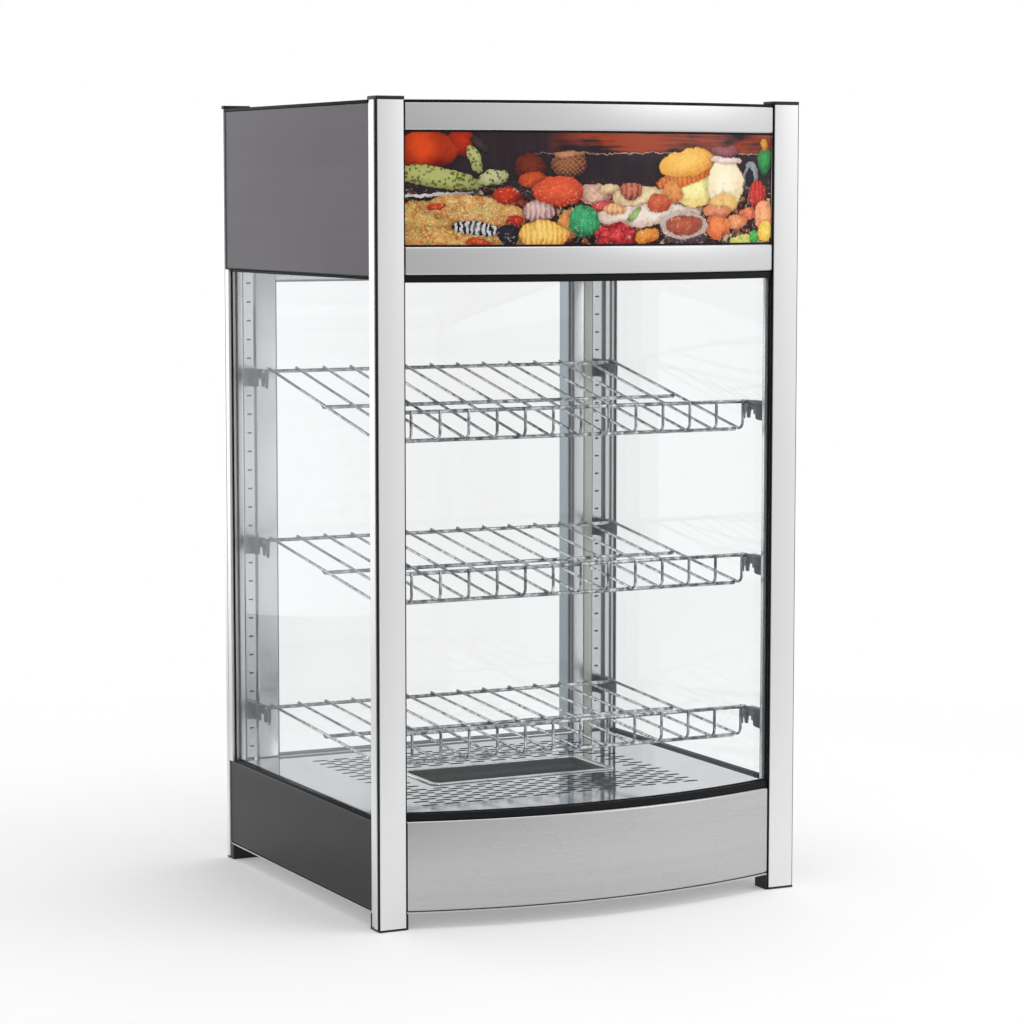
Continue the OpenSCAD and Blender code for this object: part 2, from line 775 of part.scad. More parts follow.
front_left_post();
front_right_post();
rear_left_post();
rear_right_post();
post_caps();
post_feet();
base_left_panel();
base_right_panel();
base_front_panel();
base_rear_panel();
base_bottom_pan();
floor_plate();
water_tray();
heating_element();
element_brackets();
thermostat_body();
thermostat_knob();
switch_housings();
power_rocker();
light_rocker();
cable_gland();
header_left_panel();
header_right_panel();
header_top_cover();
header_top_rail();
header_bottom_rail();
header_picture();
header_rear_panel();
ceiling_panel();
light_diffuser();
lamp_tube();
lamp_holders();
lamp_driver();
front_glass();
left_glass();
right_glass();
front_top_seal();
front_bottom_seal();
front_side_seals();
side_glass_seals();
front_slotted_strips();
rear_slotted_strips();
shelf_clips();
bottom_shelf_deck();
bottom_shelf_lip();
middle_shelf_deck();
middle_shelf_lip();
top_shelf_deck();
top_shelf_lip();
door_hinge_stile();
door_latch_stile();
door_top_rail();
door_bottom_rail();
door_glass();
door_handle();
door_hinge_leaves();
post_hinge_leaves();
hinge_pins();
magnet_catch();
panel_screws();
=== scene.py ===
import math

import bmesh
import bpy
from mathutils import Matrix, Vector


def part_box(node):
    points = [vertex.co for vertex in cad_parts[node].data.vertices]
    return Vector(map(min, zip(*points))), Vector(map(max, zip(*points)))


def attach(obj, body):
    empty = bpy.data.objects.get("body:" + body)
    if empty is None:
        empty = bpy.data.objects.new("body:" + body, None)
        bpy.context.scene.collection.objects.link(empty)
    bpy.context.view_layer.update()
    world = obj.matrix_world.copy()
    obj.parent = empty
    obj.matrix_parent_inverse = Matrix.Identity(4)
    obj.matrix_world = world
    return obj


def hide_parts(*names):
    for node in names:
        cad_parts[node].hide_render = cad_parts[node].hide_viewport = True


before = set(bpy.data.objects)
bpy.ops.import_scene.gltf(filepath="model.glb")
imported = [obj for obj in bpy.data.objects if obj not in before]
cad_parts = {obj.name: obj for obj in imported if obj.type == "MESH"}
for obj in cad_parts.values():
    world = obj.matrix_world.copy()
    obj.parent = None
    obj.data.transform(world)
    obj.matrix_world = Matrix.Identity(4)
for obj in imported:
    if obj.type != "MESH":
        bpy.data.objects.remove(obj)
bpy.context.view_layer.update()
print("frame loaded with", len(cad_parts), "nodes")

mm = 0.001


def cadBoxOf(node):
    # lowest and highest corner of a CAD part in millimetres
    return [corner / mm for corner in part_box(node)]


def cadLow(node):
    return cadBoxOf(node)[0]


def cadHigh(node):
    return cadBoxOf(node)[1]


# Shader maths: a Wire is an output socket that can be used in plain expressions.

class Wire:
    def __init__(self, tree, socket):
        self.tree = tree
        self.socket = socket

    def calc(self, operation, *others, clamp=False):
        return self.tree.calc(operation, self, *others, clamp=clamp)

    def __add__(self, other):
        return self.calc("ADD", other)

    def __sub__(self, other):
        return self.calc("SUBTRACT", other)

    def __rsub__(self, other):
        return self.tree.calc("SUBTRACT", other, self)

    def __mul__(self, other):
        return self.calc("MULTIPLY", other)

    def __truediv__(self, other):
        return self.calc("DIVIDE", other)

    def __pow__(self, other):
        return self.calc("POWER", other)

    __radd__ = __add__
    __rmul__ = __mul__

    def clamped(self):
        return self.calc("ADD", 0.0, clamp=True)


class NodeTree:
    # empties a node tree and makes every node by one method
    def __init__(self, owner):
        owner.use_nodes = True
        self.nodes = owner.node_tree.nodes
        self.links = owner.node_tree.links
        self.nodes.clear()

    def feed(self, socket, value):
        if isinstance(value, Wire):
            self.links.new(value.socket, socket)
        else:
            socket.default_value = value

    def node(self, kind, settings=None, inputs=None, out=0):
        made = self.nodes.new(kind)
        for key, value in (settings or {}).items():
            if key == "stops":
                while len(made.color_ramp.elements) < len(value):
                    made.color_ramp.elements.new(0.5)
                for stop, (at, colour) in zip(made.color_ramp.elements, value):
                    stop.position = at
                    stop.color = (*colour, 1)
            elif key == "interpolation":
                made.color_ramp.interpolation = value
            else:
                setattr(made, key, value)
        for key, value in (inputs or {}).items():
            self.feed(made.inputs[key], value)
        return Wire(self, made.outputs[out]) if made.outputs else made

    def calc(self, operation, *values, clamp=False):
        settings = {"operation": operation, "use_clamp": clamp}
        return self.node("ShaderNodeMath", settings, dict(enumerate(values)))

    def vector(self, operation, *values, out=0):
        return self.node("ShaderNodeVectorMath", {"operation": operation}, dict(enumerate(values)), out)

    def ranged(self, value, start, end, first, last):
        inputs = {"Value": value, "From Min": start, "From Max": end, "To Min": first, "To Max": last}
        return self.node("ShaderNodeMapRange", {}, inputs)


class Finish(NodeTree):
    # a material: one Principled shader and whatever feeds it
    def __init__(self, name, **fixed):
        self.material = bpy.data.materials.new(name)
        super().__init__(self.material)
        surface = self.node("ShaderNodeBsdfPrincipled")
        self.shader = surface.socket.node
        self.node("ShaderNodeOutputMaterial", {}, {"Surface": surface})
        for socket, value in fixed.items():
            self.set(socket.replace("_", " "), value)
        self.place = self.node("ShaderNodeTexCoord", out="Object")

    def set(self, socket, value):
        self.feed(self.shader.inputs[socket], value)

    def mix(self, factor, first, second):
        ends = {0: factor, 6: colourOf(first), 7: colourOf(second)}
        return self.node("ShaderNodeMix", {"data_type": "RGBA"}, ends, out=2)

    def stretched(self, x, y, z):
        return self.vector("MULTIPLY", self.place, (x, y, z))

    def noise(self, vector, scale=1.0, detail=2.0, roughness=0.5, out=0):
        inputs = {"Vector": vector, "Scale": scale, "Detail": detail, "Roughness": roughness}
        return self.node("ShaderNodeTexNoise", {}, inputs, out)

    def cells(self, vector, scale, out=0):
        return self.node("ShaderNodeTexVoronoi", {}, {"Vector": vector, "Scale": scale}, out)

    def axes(self, vector):
        split = self.node("ShaderNodeSeparateXYZ", {}, {0: vector})
        return [Wire(self, socket) for socket in split.socket.node.outputs]

    def relief(self, height, strength, distance):
        inputs = {"Strength": strength, "Distance": distance, "Height": height}
        self.set("Normal", self.node("ShaderNodeBump", {}, inputs))

    def done(self, tone, colours, roughness, *bump):
        # colour between two ends, a varying roughness and the surface's relief
        self.set("Base Color", self.mix(tone, *colours))
        self.set("Roughness", roughness)
        self.relief(*bump)
        return self.material


def colourOf(value):
    return value if isinstance(value, Wire) else (*value, 1)


# finishes

def brushedMetal(name, light, dark, along="horizontal", rough=0.3, rub=0.12):
    # fine brushing in one direction, broad streaks from the mill and a few smudges from hands
    finish = Finish(name, Metallic=1.0)
    fineStretch, broadStretch = (5, 5, 1500), (2, 2, 90)
    if along == "vertical":
        fineStretch, broadStretch = (1500, 1500, 5), (90, 90, 2)
    fine = finish.noise(finish.stretched(*fineStretch), detail=3, roughness=0.7)
    broad = finish.noise(finish.stretched(*broadStretch))
    smudge = finish.noise(finish.place, scale=9, detail=3, roughness=0.6)
    tone = (fine * 0.45 + broad * 0.55 + (smudge - 0.5) * 0.3).clamped()
    roughness = fine * rub + smudge * 0.1 + (rough - rub * 0.5 - 0.05)
    return finish.done(tone, (dark, light), roughness, fine, 0.12, 0.0003)


def satinAluminium(name, light, dark, rough=0.34):
    # anodised extrusion: faint die lines along its length over a fine matt grain
    finish = Finish(name, Metallic=1.0)
    lines = finish.noise(finish.stretched(700, 700, 1.2))
    grain = finish.noise(finish.place, scale=2600, detail=1)
    cloud = finish.noise(finish.place, scale=6)
    tone = (lines * 0.4 + grain * 0.2 + cloud * 0.4).clamped()
    roughness = grain * 0.08 + cloud * 0.08 + (rough - 0.08)
    return finish.done(tone, (dark, light), roughness, grain * 0.5 + lines * 0.5, 0.1, 0.0002)


def platedWire(name, light, dark, rough=0.12, size=45, reflection_contrast=1.0):
    # bright plating that is a little dull and cloudy where it has been handled; with a dark end colour and a
    # high contrast the same patches become painted reflections, black and white dashes along the wire
    finish = Finish(name, Metallic=1.0)
    cloud = finish.noise(finish.place, scale=size, detail=3, roughness=0.65)
    # a high contrast turns the clouding into painted reflection dashes
    cloud = ((cloud - 0.5) * reflection_contrast + 0.5).clamped()
    pits = finish.noise(finish.place, scale=1400)
    return finish.done(cloud, (dark, light), cloud * 0.16 + (rough - 0.05), pits, 0.06, 0.0002)


def zincPlate(name, light, dark, rough=0.34):
    finish = Finish(name, Metallic=1.0)
    spangle = finish.cells(finish.place, 420)
    cloud = finish.noise(finish.place, scale=160, detail=3)
    tone = (spangle * 0.5 + cloud * 0.6).clamped()
    roughness = spangle * 0.12 + cloud * 0.1 + (rough - 0.1)
    return finish.done(tone, (dark, light), roughness, spangle * 0.4 + cloud * 0.6, 0.15, 0.0003)


def mirrorSteel(name, light, dark):
    # polished floor with wipe marks and a slight waviness
    finish = Finish(name, Metallic=1.0)
    wipes = finish.noise(finish.stretched(60, 14, 14), detail=4, roughness=0.65)
    wave = finish.noise(finish.place, scale=7, detail=1)
    return finish.done(wipes, (dark, light), wipes * 0.1 + 0.02, wave, 0.1, 0.002)


def mouldedPlastic(name, light, dark, rough=0.42, sparkle=1500):
    # spark-eroded texture with slight fading
    finish = Finish(name, Specular_IOR_Level=0.45)
    texture = finish.noise(finish.place, scale=sparkle)
    fade = finish.noise(finish.place, scale=30, detail=3)
    roughness = texture * 0.16 + fade * 0.1 + (rough - 0.12)
    return finish.done(fade, (dark, light), roughness, texture, 0.25, 0.0002)


def extrudedRubber(name, light, dark):
    finish = Finish(name, Specular_IOR_Level=0.16)
    drag = finish.noise(finish.stretched(260, 260, 260), detail=3)
    bloom = finish.noise(finish.place, scale=18, detail=3)
    return finish.done(bloom, (dark, light), drag * 0.15 + bloom * 0.15 + 0.42, drag, 0.2, 0.0003)


def clearGlass(name):
    # toughened pane: it reflects more at a glancing angle, with a trace of wiped film
    finish = Finish(name, Metallic=1.0)
    film = finish.noise(finish.stretched(5, 5, 3), detail=4, roughness=0.6)
    facing = finish.node("ShaderNodeLayerWeight", {}, {"Blend": 0.5}, out=1)
    finish.set("Base Color", finish.mix(film, (0.50, 0.56, 0.59), (0.60, 0.65, 0.67)))
    finish.set("Roughness", film * 0.04 + 0.01)
    finish.set("Alpha", (facing ** 5 * 0.5 + film * 0.008 + 0.046).clamped())
    return finish.material


def opalSheet(name, glow):
    finish = Finish(name, Roughness=0.45, Emission_Strength=glow)
    milk = finish.noise(finish.place, scale=60)
    finish.set("Base Color", finish.mix(milk, (0.84, 0.84, 0.82), (0.92, 0.92, 0.90)))
    finish.set("Emission Color", finish.mix(milk, (1.0, 0.95, 0.86), (1.0, 0.98, 0.93)))
    finish.relief(finish.noise(finish.place, scale=900), 0.1, 0.0002)
    return finish.material


def heatedTube(name):
    # steel sheath that has run hot: straw and blue oxide bands
    finish = Finish(name, Metallic=1.0)
    bands = finish.noise(finish.stretched(12, 12, 12), detail=3)
    stops = [(0.25, (0.16, 0.15, 0.15)), (0.5, (0.30, 0.22, 0.14)), (0.75, (0.14, 0.15, 0.20))]
    finish.set("Base Color", finish.node("ShaderNodeValToRGB", {"stops": stops}, {0: bands}))
    finish.set("Roughness", bands * 0.25 + 0.3)
    finish.relief(finish.noise(finish.place, scale=800), 0.15, 0.0003)
    return finish.material


def paintedShadeLining(name):
    # near-black colour painted as the shade inside the deep tray and on the walls of the floor's slots, with a
    # faint line of scale where water stood
    finish = Finish(name, Specular_IOR_Level=0.4)
    depth = finish.axes(finish.place)[2]
    scale = finish.noise(finish.place, scale=150, detail=4, roughness=0.7)
    line = (1 - ((depth - 0.099) / 0.004).calc("ABSOLUTE")).clamped() * scale
    base = finish.mix(scale, (0.018, 0.017, 0.016), (0.035, 0.033, 0.03))
    finish.set("Base Color", finish.mix(line * 0.35, base, (0.25, 0.25, 0.24)))
    finish.set("Roughness", scale * 0.2 + 0.32)
    finish.relief(scale, 0.2, 0.0003)
    return finish.material


# What the header picture shows, the foods in front last: where each is (millimetres from the middle of the
# picture's lower edge), its half sizes, tilt, light and dark colour as on a screen, and the look of its skin
picture = {
    "glow": 0.16,
    "boards": ((24, 18, 24), (62, 48, 54)),
    "plank": (158, 66, 40),
    "seam": (222, 176, 150),
    "shadow": (16, 10, 12),
    "crevice": (60, 22, 20),
    "glint": (255, 236, 206),
    "chopped": [(70, 24, 26), (196, 120, 84), (116, 40, 30), (222, 180, 140), (52, 24, 28), (178, 74, 48),
                (232, 206, 170), (90, 40, 34), (206, 96, 60), (60, 36, 34)],
    "toppings": [(242, 214, 130), (226, 170, 80), (246, 226, 160), (206, 74, 36), (236, 190, 96),
                 (120, 120, 56), (244, 220, 150), (170, 44, 26), (230, 150, 60), (84, 40, 24),
                 (240, 206, 120)],
    "foods": [
        ((-151, 99), (14, 13), 0, (196, 52, 24), (70, 12, 10), "plain"),
        ((-204, 90), (12, 15), 0, (205, 60, 22), (90, 16, 10), "plain"),
        ((-182, 93), (28, 19), 0, (224, 76, 28), (112, 22, 12), "lobed"),
        ((-134, 98), (11, 5), -40, (70, 60, 56), (16, 14, 18), "grated"),
        ((-175, 66), (46, 10), -10, (182, 184, 112), (96, 100, 50), "dotted"),
        ((-139, 83), (7, 15), 25, (184, 184, 120), (98, 100, 54), "dotted"),
        ((-120, 66), (16, 7), 8, (194, 194, 142), (92, 94, 58), "dotted"),
        ((-83, 76), (17, 15), 0, (122, 50, 34), (38, 18, 24), "grated"),
        ((-81, 64), (14, 8), 0, (212, 88, 46), (122, 32, 22), "grated"),
        ((-44, 79), (18, 14), 0, (158, 102, 70), (60, 34, 34), "woven"),
        ((-44, 89), (15, 3), 0, (196, 138, 104), (112, 66, 50), "plain"),
        ((-181, 49), (41, 2), 3, (232, 228, 222), (122, 112, 112), "plain"),
        ((-181, 46), (43, 2), 3, (26, 22, 28), (12, 10, 14), "plain"),
        ((-185, 23), (43, 22), 0, (240, 200, 110), (170, 84, 36), "topped"),
        ((-136, 34), (49, 15), -8, (244, 214, 140), (180, 96, 44), "topped"),
        ((-151, 8), (63, 12), 0, (236, 190, 96), (168, 78, 34), "topped"),
        ((-108, 49), (15, 9), 0, (212, 62, 38), (112, 24, 18), "grated"),
        ((-98, 25), (9, 5), 0, (204, 52, 38), (112, 22, 18), "grated"),
        ((-175, 39), (10, 3), 0, (206, 70, 34), (130, 30, 18), "grated"),
        ((-134, 4), (13, 4), 0, (206, 84, 40), (120, 34, 18), "grated"),
        ((-136, 17), (26, 7), -4, (206, 206, 210), (22, 20, 28), "striped"),
        ((-106, 11), (11, 11), 0, (40, 38, 50), (14, 12, 18), "plain"),
        ((-74, 35), (17, 11), 0, (226, 190, 182), (142, 98, 106), "ribbed"),
        ((-16, 50), (18, 11), 0, (230, 190, 164), (150, 90, 84), "grated"),
        ((-53, 53), (28, 15), 0, (236, 98, 62), (160, 38, 28), "grated"),
        ((-7, 38), (13, 7), 0, (216, 88, 86), (150, 42, 46), "grated"),
        ((1, 55), (13, 6), 0, (232, 210, 164), (172, 122, 82), "grated"),
        ((44, 46), (43, 12), 0, (240, 218, 172), (190, 140, 100), "grated"),
        ((25, 54), (12, 9), -10, (200, 116, 92), (104, 46, 42), "ribbed"),
        ((46, 29), (66, 11), 2, (242, 224, 210), (198, 162, 142), "plain"),
        ((7, 35), (13, 6), 0, (236, 184, 132), (182, 112, 72), "ribbed"),
        ((28, 30), (4, 10), -42, (156, 190, 116), (82, 118, 52), "plain"),
        ((103, 55), (32, 19), 0, (250, 240, 168), (224, 184, 92), "plain"),
        ((90, 68), (39, 9), 12, (236, 144, 74), (192, 86, 38), "ribbed"),
        ((92, 81), (35, 14), 8, (250, 202, 104), (216, 134, 52), "grated"),
        ((73, 53), (14, 10), -20, (230, 154, 88), (182, 92, 52), "plain"),
        ((57, 41), (14, 10), 0, (210, 98, 68), (150, 52, 36), "plain"),
        ((173, 68), (11, 15), 0, (168, 168, 176), (40, 40, 48), "plain"),
        ((171, 66), (6, 10), 0, (44, 44, 50), (14, 14, 18), "plain"),
        ((140, 60), (24, 27), 0, (252, 242, 212), (224, 192, 134), "plain"),
        ((138, 41), (19, 10), 0, (240, 198, 124), (204, 144, 76), "plain"),
        ((141, 84), (21, 4), 0, (240, 220, 212), (182, 142, 142), "plain"),
        ((139, 92), (19, 6), 0, (154, 94, 100), (78, 42, 50), "grated"),
        ((194, 84), (11, 15), 0, (64, 156, 84), (14, 60, 34), "grated"),
        ((194, 100), (7, 6), 0, (218, 154, 62), (152, 82, 32), "grated"),
        ((183, 49), (13, 15), 0, (210, 62, 50), (118, 20, 20), "ribbed"),
        ((170, 30), (12, 7), 0, (232, 124, 88), (170, 62, 44), "plain"),
        ((194, 28), (14, 18), 20, (246, 172, 122), (208, 112, 68), "plain"),
        ((130, 33), (17, 7), 0, (228, 144, 104), (170, 82, 56), "plain"),
        ((155, 22), (14, 8), 0, (236, 154, 108), (180, 84, 56), "plain"),
        ((130, 18), (17, 12), 0, (240, 134, 78), (178, 66, 36), "plain"),
        ((90, 7), (27, 6), 0, (96, 74, 84), (44, 32, 44), "plain"),
        ((88, 19), (30, 13), 0, (242, 228, 218), (188, 156, 146), "grated"),
        ((88, 20), (24, 10), 0, (186, 92, 68), (108, 42, 34), "plain"),
        ((-44, 21), (11, 14), 0, (236, 158, 80), (172, 88, 42), "grated"),
        ((-27, 23), (17, 16), 0, (70, 176, 116), (12, 80, 52), "spiked"),
        ((-70, 11), (28, 14), 0, (252, 212, 110), (212, 136, 50), "ribbed"),
        ((8, 10), (25, 12), 0, (226, 66, 70), (128, 16, 28), "beaded"),
        ((43, 9), (14, 8), 0, (236, 154, 64), (180, 92, 32), "grated"),
        ((167, 4), (21, 6), 0, (218, 218, 124), (150, 160, 60), "grated"),
        ((195, 12), (10, 11), 0, (244, 210, 96), (216, 162, 52), "plain"),
        ((180, 7), (5, 8), -20, (76, 176, 84), (20, 100, 40), "plain"),
    ],
}


def onScreen(colour):
    return tuple((part / 255) ** 2.2 for part in colour)


def rampOf(palette):
    return [(k / len(palette), onScreen(colour)) for k, colour in enumerate(palette)]


def chopped(finish, vector, scale, palette):
    # small pieces, each in one colour of the palette
    cell = finish.cells(vector, scale, out=1)
    pick = finish.node("ShaderNodeSeparateColor", {}, {0: cell})
    stops = rampOf(palette)
    return finish.node("ShaderNodeValToRGB", {"stops": stops, "interpolation": "CONSTANT"}, {0: pick})


def printedPicture(name, lowEdge, zone):
    # dark boards behind a table of food, printed on a translucent sheet that is lit from behind; one shader
    # holds only so many foods, so the sheet has three that match at their edges
    finish = Finish(name, Specular_IOR_Level=0.2, Roughness=0.14, Emission_Strength=picture["glow"])
    waver = finish.noise(finish.place, scale=46, detail=6, roughness=0.7, out=1)
    waver = finish.vector("SUBTRACT", waver, (0.5, 0.5, 0.5))
    warped = finish.vector("MULTIPLY_ADD", waver, (0.017, 0, 0.014), finish.stretched(1, 0, 1))
    x, _, z = finish.axes(warped)
    across, up = x / mm, z / mm - lowEdge
    shreds = finish.noise(warped, scale=330, detail=4, roughness=0.75)
    fibres = finish.noise(finish.stretched(420, 420, 160), detail=3, roughness=0.7)
    grain = finish.noise(finish.place, scale=900)
    beads = finish.cells(warped, 200)
    dots = finish.cells(warped, 260)
    mottle = finish.noise(warped, scale=120, detail=4, roughness=0.65)
    wave = (across * 1.15).calc("SINE")
    looks = {
        "plain": mottle * 0.9 + grain * 0.25 - 0.5,
        "lobed": (across * 0.16 + 0.6).calc("SINE") * 0.2 + fibres * 0.4 - 0.2,
        "dotted": ((dots - 0.34) * 9).clamped() * 0.9 + shreds * 0.3 - 0.85,
        "grated": shreds * 1.8 - 0.9,
        "beaded": 0.5 - beads * 1.3,
        "topped": shreds * 2.2 - 0.9,
        "ribbed": wave * 0.34 + fibres * 0.3 - 0.15,
        "striped": (wave * 4 + 0.4).clamped() * 1.2 - 0.7,
        "woven": wave * (up * 1.3).calc("SINE") * 0.5,
        "spiked": fibres * 2.4 - 1.2,
    }

    ranged = finish.ranged
    boards = finish.noise(finish.stretched(60, 60, 7), detail=3, roughness=0.6)
    shown = finish.mix(boards, *[onScreen(colour) for colour in picture["boards"]])
    streaks = finish.noise(finish.stretched(12, 12, 330), detail=4, roughness=0.7)
    patches = finish.noise(finish.stretched(24, 24, 60))
    plank = ranged(up, 90, 92, 0, 1) * ranged(across, -66, -20, 0, 1)
    redness = plank * ((streaks * 0.9 + patches * 1.3 - 0.86) * 3).clamped()
    shown = finish.mix(redness, shown, onScreen(picture["plank"]))
    seam = (1 - (up - 90).calc("ABSOLUTE") * 1.6).clamped() * ranged(across, -90, -40, 0, 1) * streaks
    shown = finish.mix(seam * 1.5, shown, onScreen(picture["seam"]))
    table = ((52 - up + (patches - 0.5) * 40) / 5).clamped()
    shadow = onScreen(picture["shadow"])
    bits = finish.mix((beads * 1.6 - 0.2).clamped(), chopped(finish, warped, 150, picture["chopped"]), shadow)
    shown = finish.mix(table, shown, bits)
    melted = finish.noise(warped, scale=95, detail=4, roughness=0.6)
    melted = (melted - 0.5) * 3 + 0.5
    toppings = finish.node("ShaderNodeValToRGB", {"stops": rampOf(picture["toppings"])}, {0: melted})
    for at, size, tilt, light, dark, look in picture["foods"]:
        spread = max(size) * 1.3 + 6
        if at[0] + spread < zone[0] or at[0] - spread > zone[1]:
            continue
        centre = (at[0] * mm, 0, (at[1] + lowEdge) * mm)
        inputs = {"Vector": warped, "Location": centre, "Rotation": (0, math.radians(-tilt), 0),
                  "Scale": (size[0] * mm, 1, size[1] * mm)}
        local = finish.node("ShaderNodeMapping", {"vector_type": "TEXTURE"}, inputs)
        reach = finish.vector("LENGTH", local, out=1)
        shown = finish.mix(ranged(reach, 0.8, 1.25, 0.6, 0), shown, shadow)
        lit = finish.vector("DOT_PRODUCT", local, (-0.1, 0, 0.26), out=1)
        shade = (ranged(reach, 0.2, 1.0, 0.92, 0.3) + lit).calc("ADD", looks[look], clamp=True)
        body = onScreen(light)
        if look == "topped":
            body = finish.mix(0.85, onScreen(light), toppings)
        shown = finish.mix(ranged(reach, 0.93, 1.0, 1, 0), shown, finish.mix(shade, onScreen(dark), body))
    low = ranged(up, 50, 66, 1, 0)
    crevices = ((0.47 - mottle) * 5).clamped() * low * 0.5
    shown = finish.mix(crevices, shown, onScreen(picture["crevice"]))
    glints = ((shreds - 0.58) * 7 + (mottle - 0.5) * 3).clamped() * low * 0.75
    shown = finish.mix(glints, shown, onScreen(picture["glint"]))
    finish.set("Base Color", shown)
    finish.set("Emission Color", shown)
    return finish.material


mats = {
    "post": satinAluminium("satin_post_aluminium", (0.84, 0.84, 0.85), (0.74, 0.74, 0.75)),
    "door": satinAluminium("satin_door_aluminium", (0.80, 0.81, 0.82), (0.68, 0.69, 0.71), rough=0.26),
    # the pull is the door's satin aluminium darkened to blue-grey: painted shade of its inner face
    "handle": satinAluminium("pull_aluminium_painted_shade", (0.28, 0.33, 0.36), (0.19, 0.23, 0.25), rough=0.34),
    "headerSide": brushedMetal("brushed_header_steel", (0.057, 0.051, 0.061), (0.034, 0.030, 0.036)),
    "baseSide": brushedMetal("brushed_dark_steel", (0.011, 0.010, 0.013), (0.007, 0.006, 0.008)),
    "front": brushedMetal("brushed_front_steel", (0.56, 0.555, 0.56), (0.46, 0.455, 0.46), rough=0.28),
    "rail": brushedMetal("brushed_rail_steel", (0.69, 0.69, 0.70), (0.61, 0.61, 0.62), rough=0.36),
    "rear": brushedMetal("brushed_rear_steel", (0.56, 0.56, 0.57), (0.44, 0.44, 0.45)),
    "pan": brushedMetal("mill_finish_steel", (0.62, 0.62, 0.62), (0.48, 0.48, 0.49), rough=0.36),
    "strip": brushedMetal("satin_strip_steel", (0.72, 0.74, 0.75), (0.60, 0.62, 0.63), "vertical", 0.24),
    "hinge": brushedMetal("satin_hinge_steel", (0.62, 0.62, 0.63), (0.48, 0.48, 0.49), "vertical", 0.28),
    "mirror": mirrorSteel("polished_floor_steel", (0.84, 0.86, 0.87), (0.74, 0.76, 0.78)),
    "tray": platedWire("bright_tray_steel", (0.86, 0.86, 0.86), (0.70, 0.70, 0.70)),
    # the shelf wire's near-black and bright patches are painted reflections, dashes of dark and light along
    # the wire
    "wire": platedWire("bright_shelf_wire", (0.72, 0.74, 0.77), (0.05, 0.055, 0.06), 0.08, 150, 3.0),
    "zinc": zincPlate("zinc_plate", (0.20, 0.21, 0.225), (0.03, 0.03, 0.035)),
    "plastic": mouldedPlastic("black_moulded_plastic", (0.006, 0.006, 0.006), (0.003, 0.003, 0.003)),
    "controls": mouldedPlastic("black_control_plastic", (0.026, 0.026, 0.027), (0.014, 0.014, 0.015), 0.34),
    "white": mouldedPlastic("white_moulded_plastic", (0.84, 0.84, 0.82), (0.74, 0.74, 0.72), 0.4),
    "red": mouldedPlastic("red_rocker_plastic", (0.80, 0.05, 0.03), (0.62, 0.02, 0.015), 0.2, 400),
    "bead": mouldedPlastic("grey_glazing_bead", (0.34, 0.36, 0.37), (0.24, 0.26, 0.27), 0.4, 500),
    "gasket": mouldedPlastic("pale_gasket_plastic", (0.66, 0.68, 0.60), (0.54, 0.57, 0.49), 0.5, 500),
    "rubber": extrudedRubber("black_seal_rubber", (0.010, 0.010, 0.011), (0.004, 0.004, 0.005)),
    "glass": clearGlass("clear_glass"),
    "opal": opalSheet("opal_diffuser", 0.6),
    "lamp": opalSheet("opal_lamp", 0.9),
    "element": heatedTube("heat_tinted_sheath"),
    # near-black painted shade for the inside of the tray and the walls of the floor's slots
    "painted_shade": paintedShadeLining("tray_painted_shade"),
}
third = cadHigh("base_front_panel").x / 3
for k, part in enumerate(("Left", "Middle", "Right")):
    zone = ((2 * k - 3) * third, (2 * k - 1) * third)
    mats["picture" + part] = printedPicture("printed_food_" + part.lower(), cadLow("header_picture").z, zone)
print("finishes made:", len(mats))


# shapes

def rounded(corners, radius, closed=True, steps=5):
    # replaces each corner of an outline with an arc; radius is one number or one for each corner
    count = len(corners)
    radii = radius if isinstance(radius, (list, tuple)) else [radius] * count
    points = []
    for i, corner in enumerate(corners):
        here = Vector(corner)
        if radii[i] <= 0 or (not closed and i in (0, count - 1)):
            points.append(here)
            continue
        back = Vector(corners[i - 1]) - here
        ahead = Vector(corners[(i + 1) % count]) - here
        turn = back.angle(ahead)
        reach = min(radii[i] / math.tan(turn / 2), back.length * 0.49, ahead.length * 0.49)
        arc = reach * math.tan(turn / 2)
        centre = here + (back.normalized() + ahead.normalized()).normalized() * (arc / math.sin(turn / 2))
        start = here + back.normalized() * reach - centre
        end = here + ahead.normalized() * reach - centre
        first = math.atan2(start.y, start.x)
        sweep = math.remainder(math.atan2(end.y, end.x) - first, 2 * math.pi)
        for k in range(steps + 1):
            angle = first + sweep * k / steps
            points.append(centre + Vector((math.cos(angle), math.sin(angle))) * arc)
    return points


def bentSheet(path, thickness, radius):
    # outline of a sheet that follows a path with rounded bends
    line = rounded(path, radius, closed=False)
    left, right = [], []
    for i, point in enumerate(line):
        before = line[max(i - 1, 0)]
        after = line[min(i + 1, len(line) - 1)]
        along = (after - before).normalized()
        side = Vector((-along.y, along.x)) * thickness / 2
        left.append(point + side)
        right.append(point - side)
    return left + right[::-1]


def addPiece(name, mesh, material, body, slot, replaces=()):
    piece = bpy.data.objects.new(name, mesh)
    bpy.context.scene.collection.objects.link(piece)
    for one in material if isinstance(material, list) else [material]:
        mesh.materials.append(mats[one])
    mesh.polygons.foreach_set("use_smooth", [True] * len(mesh.polygons))
    mesh.set_sharp_from_angle(angle=math.radians(35))
    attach(piece, body)
    if replaces:
        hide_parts(*replaces)
    return piece


def meshOf(name, work):
    outwards(work)
    mesh = bpy.data.meshes.new(name)
    work.to_mesh(mesh)
    work.free()
    return mesh


def outwards(work):
    bmesh.ops.recalc_face_normals(work, faces=work.faces)


def addWork(work, name, *rest):
    return addPiece(name, meshOf(name, work), *rest)


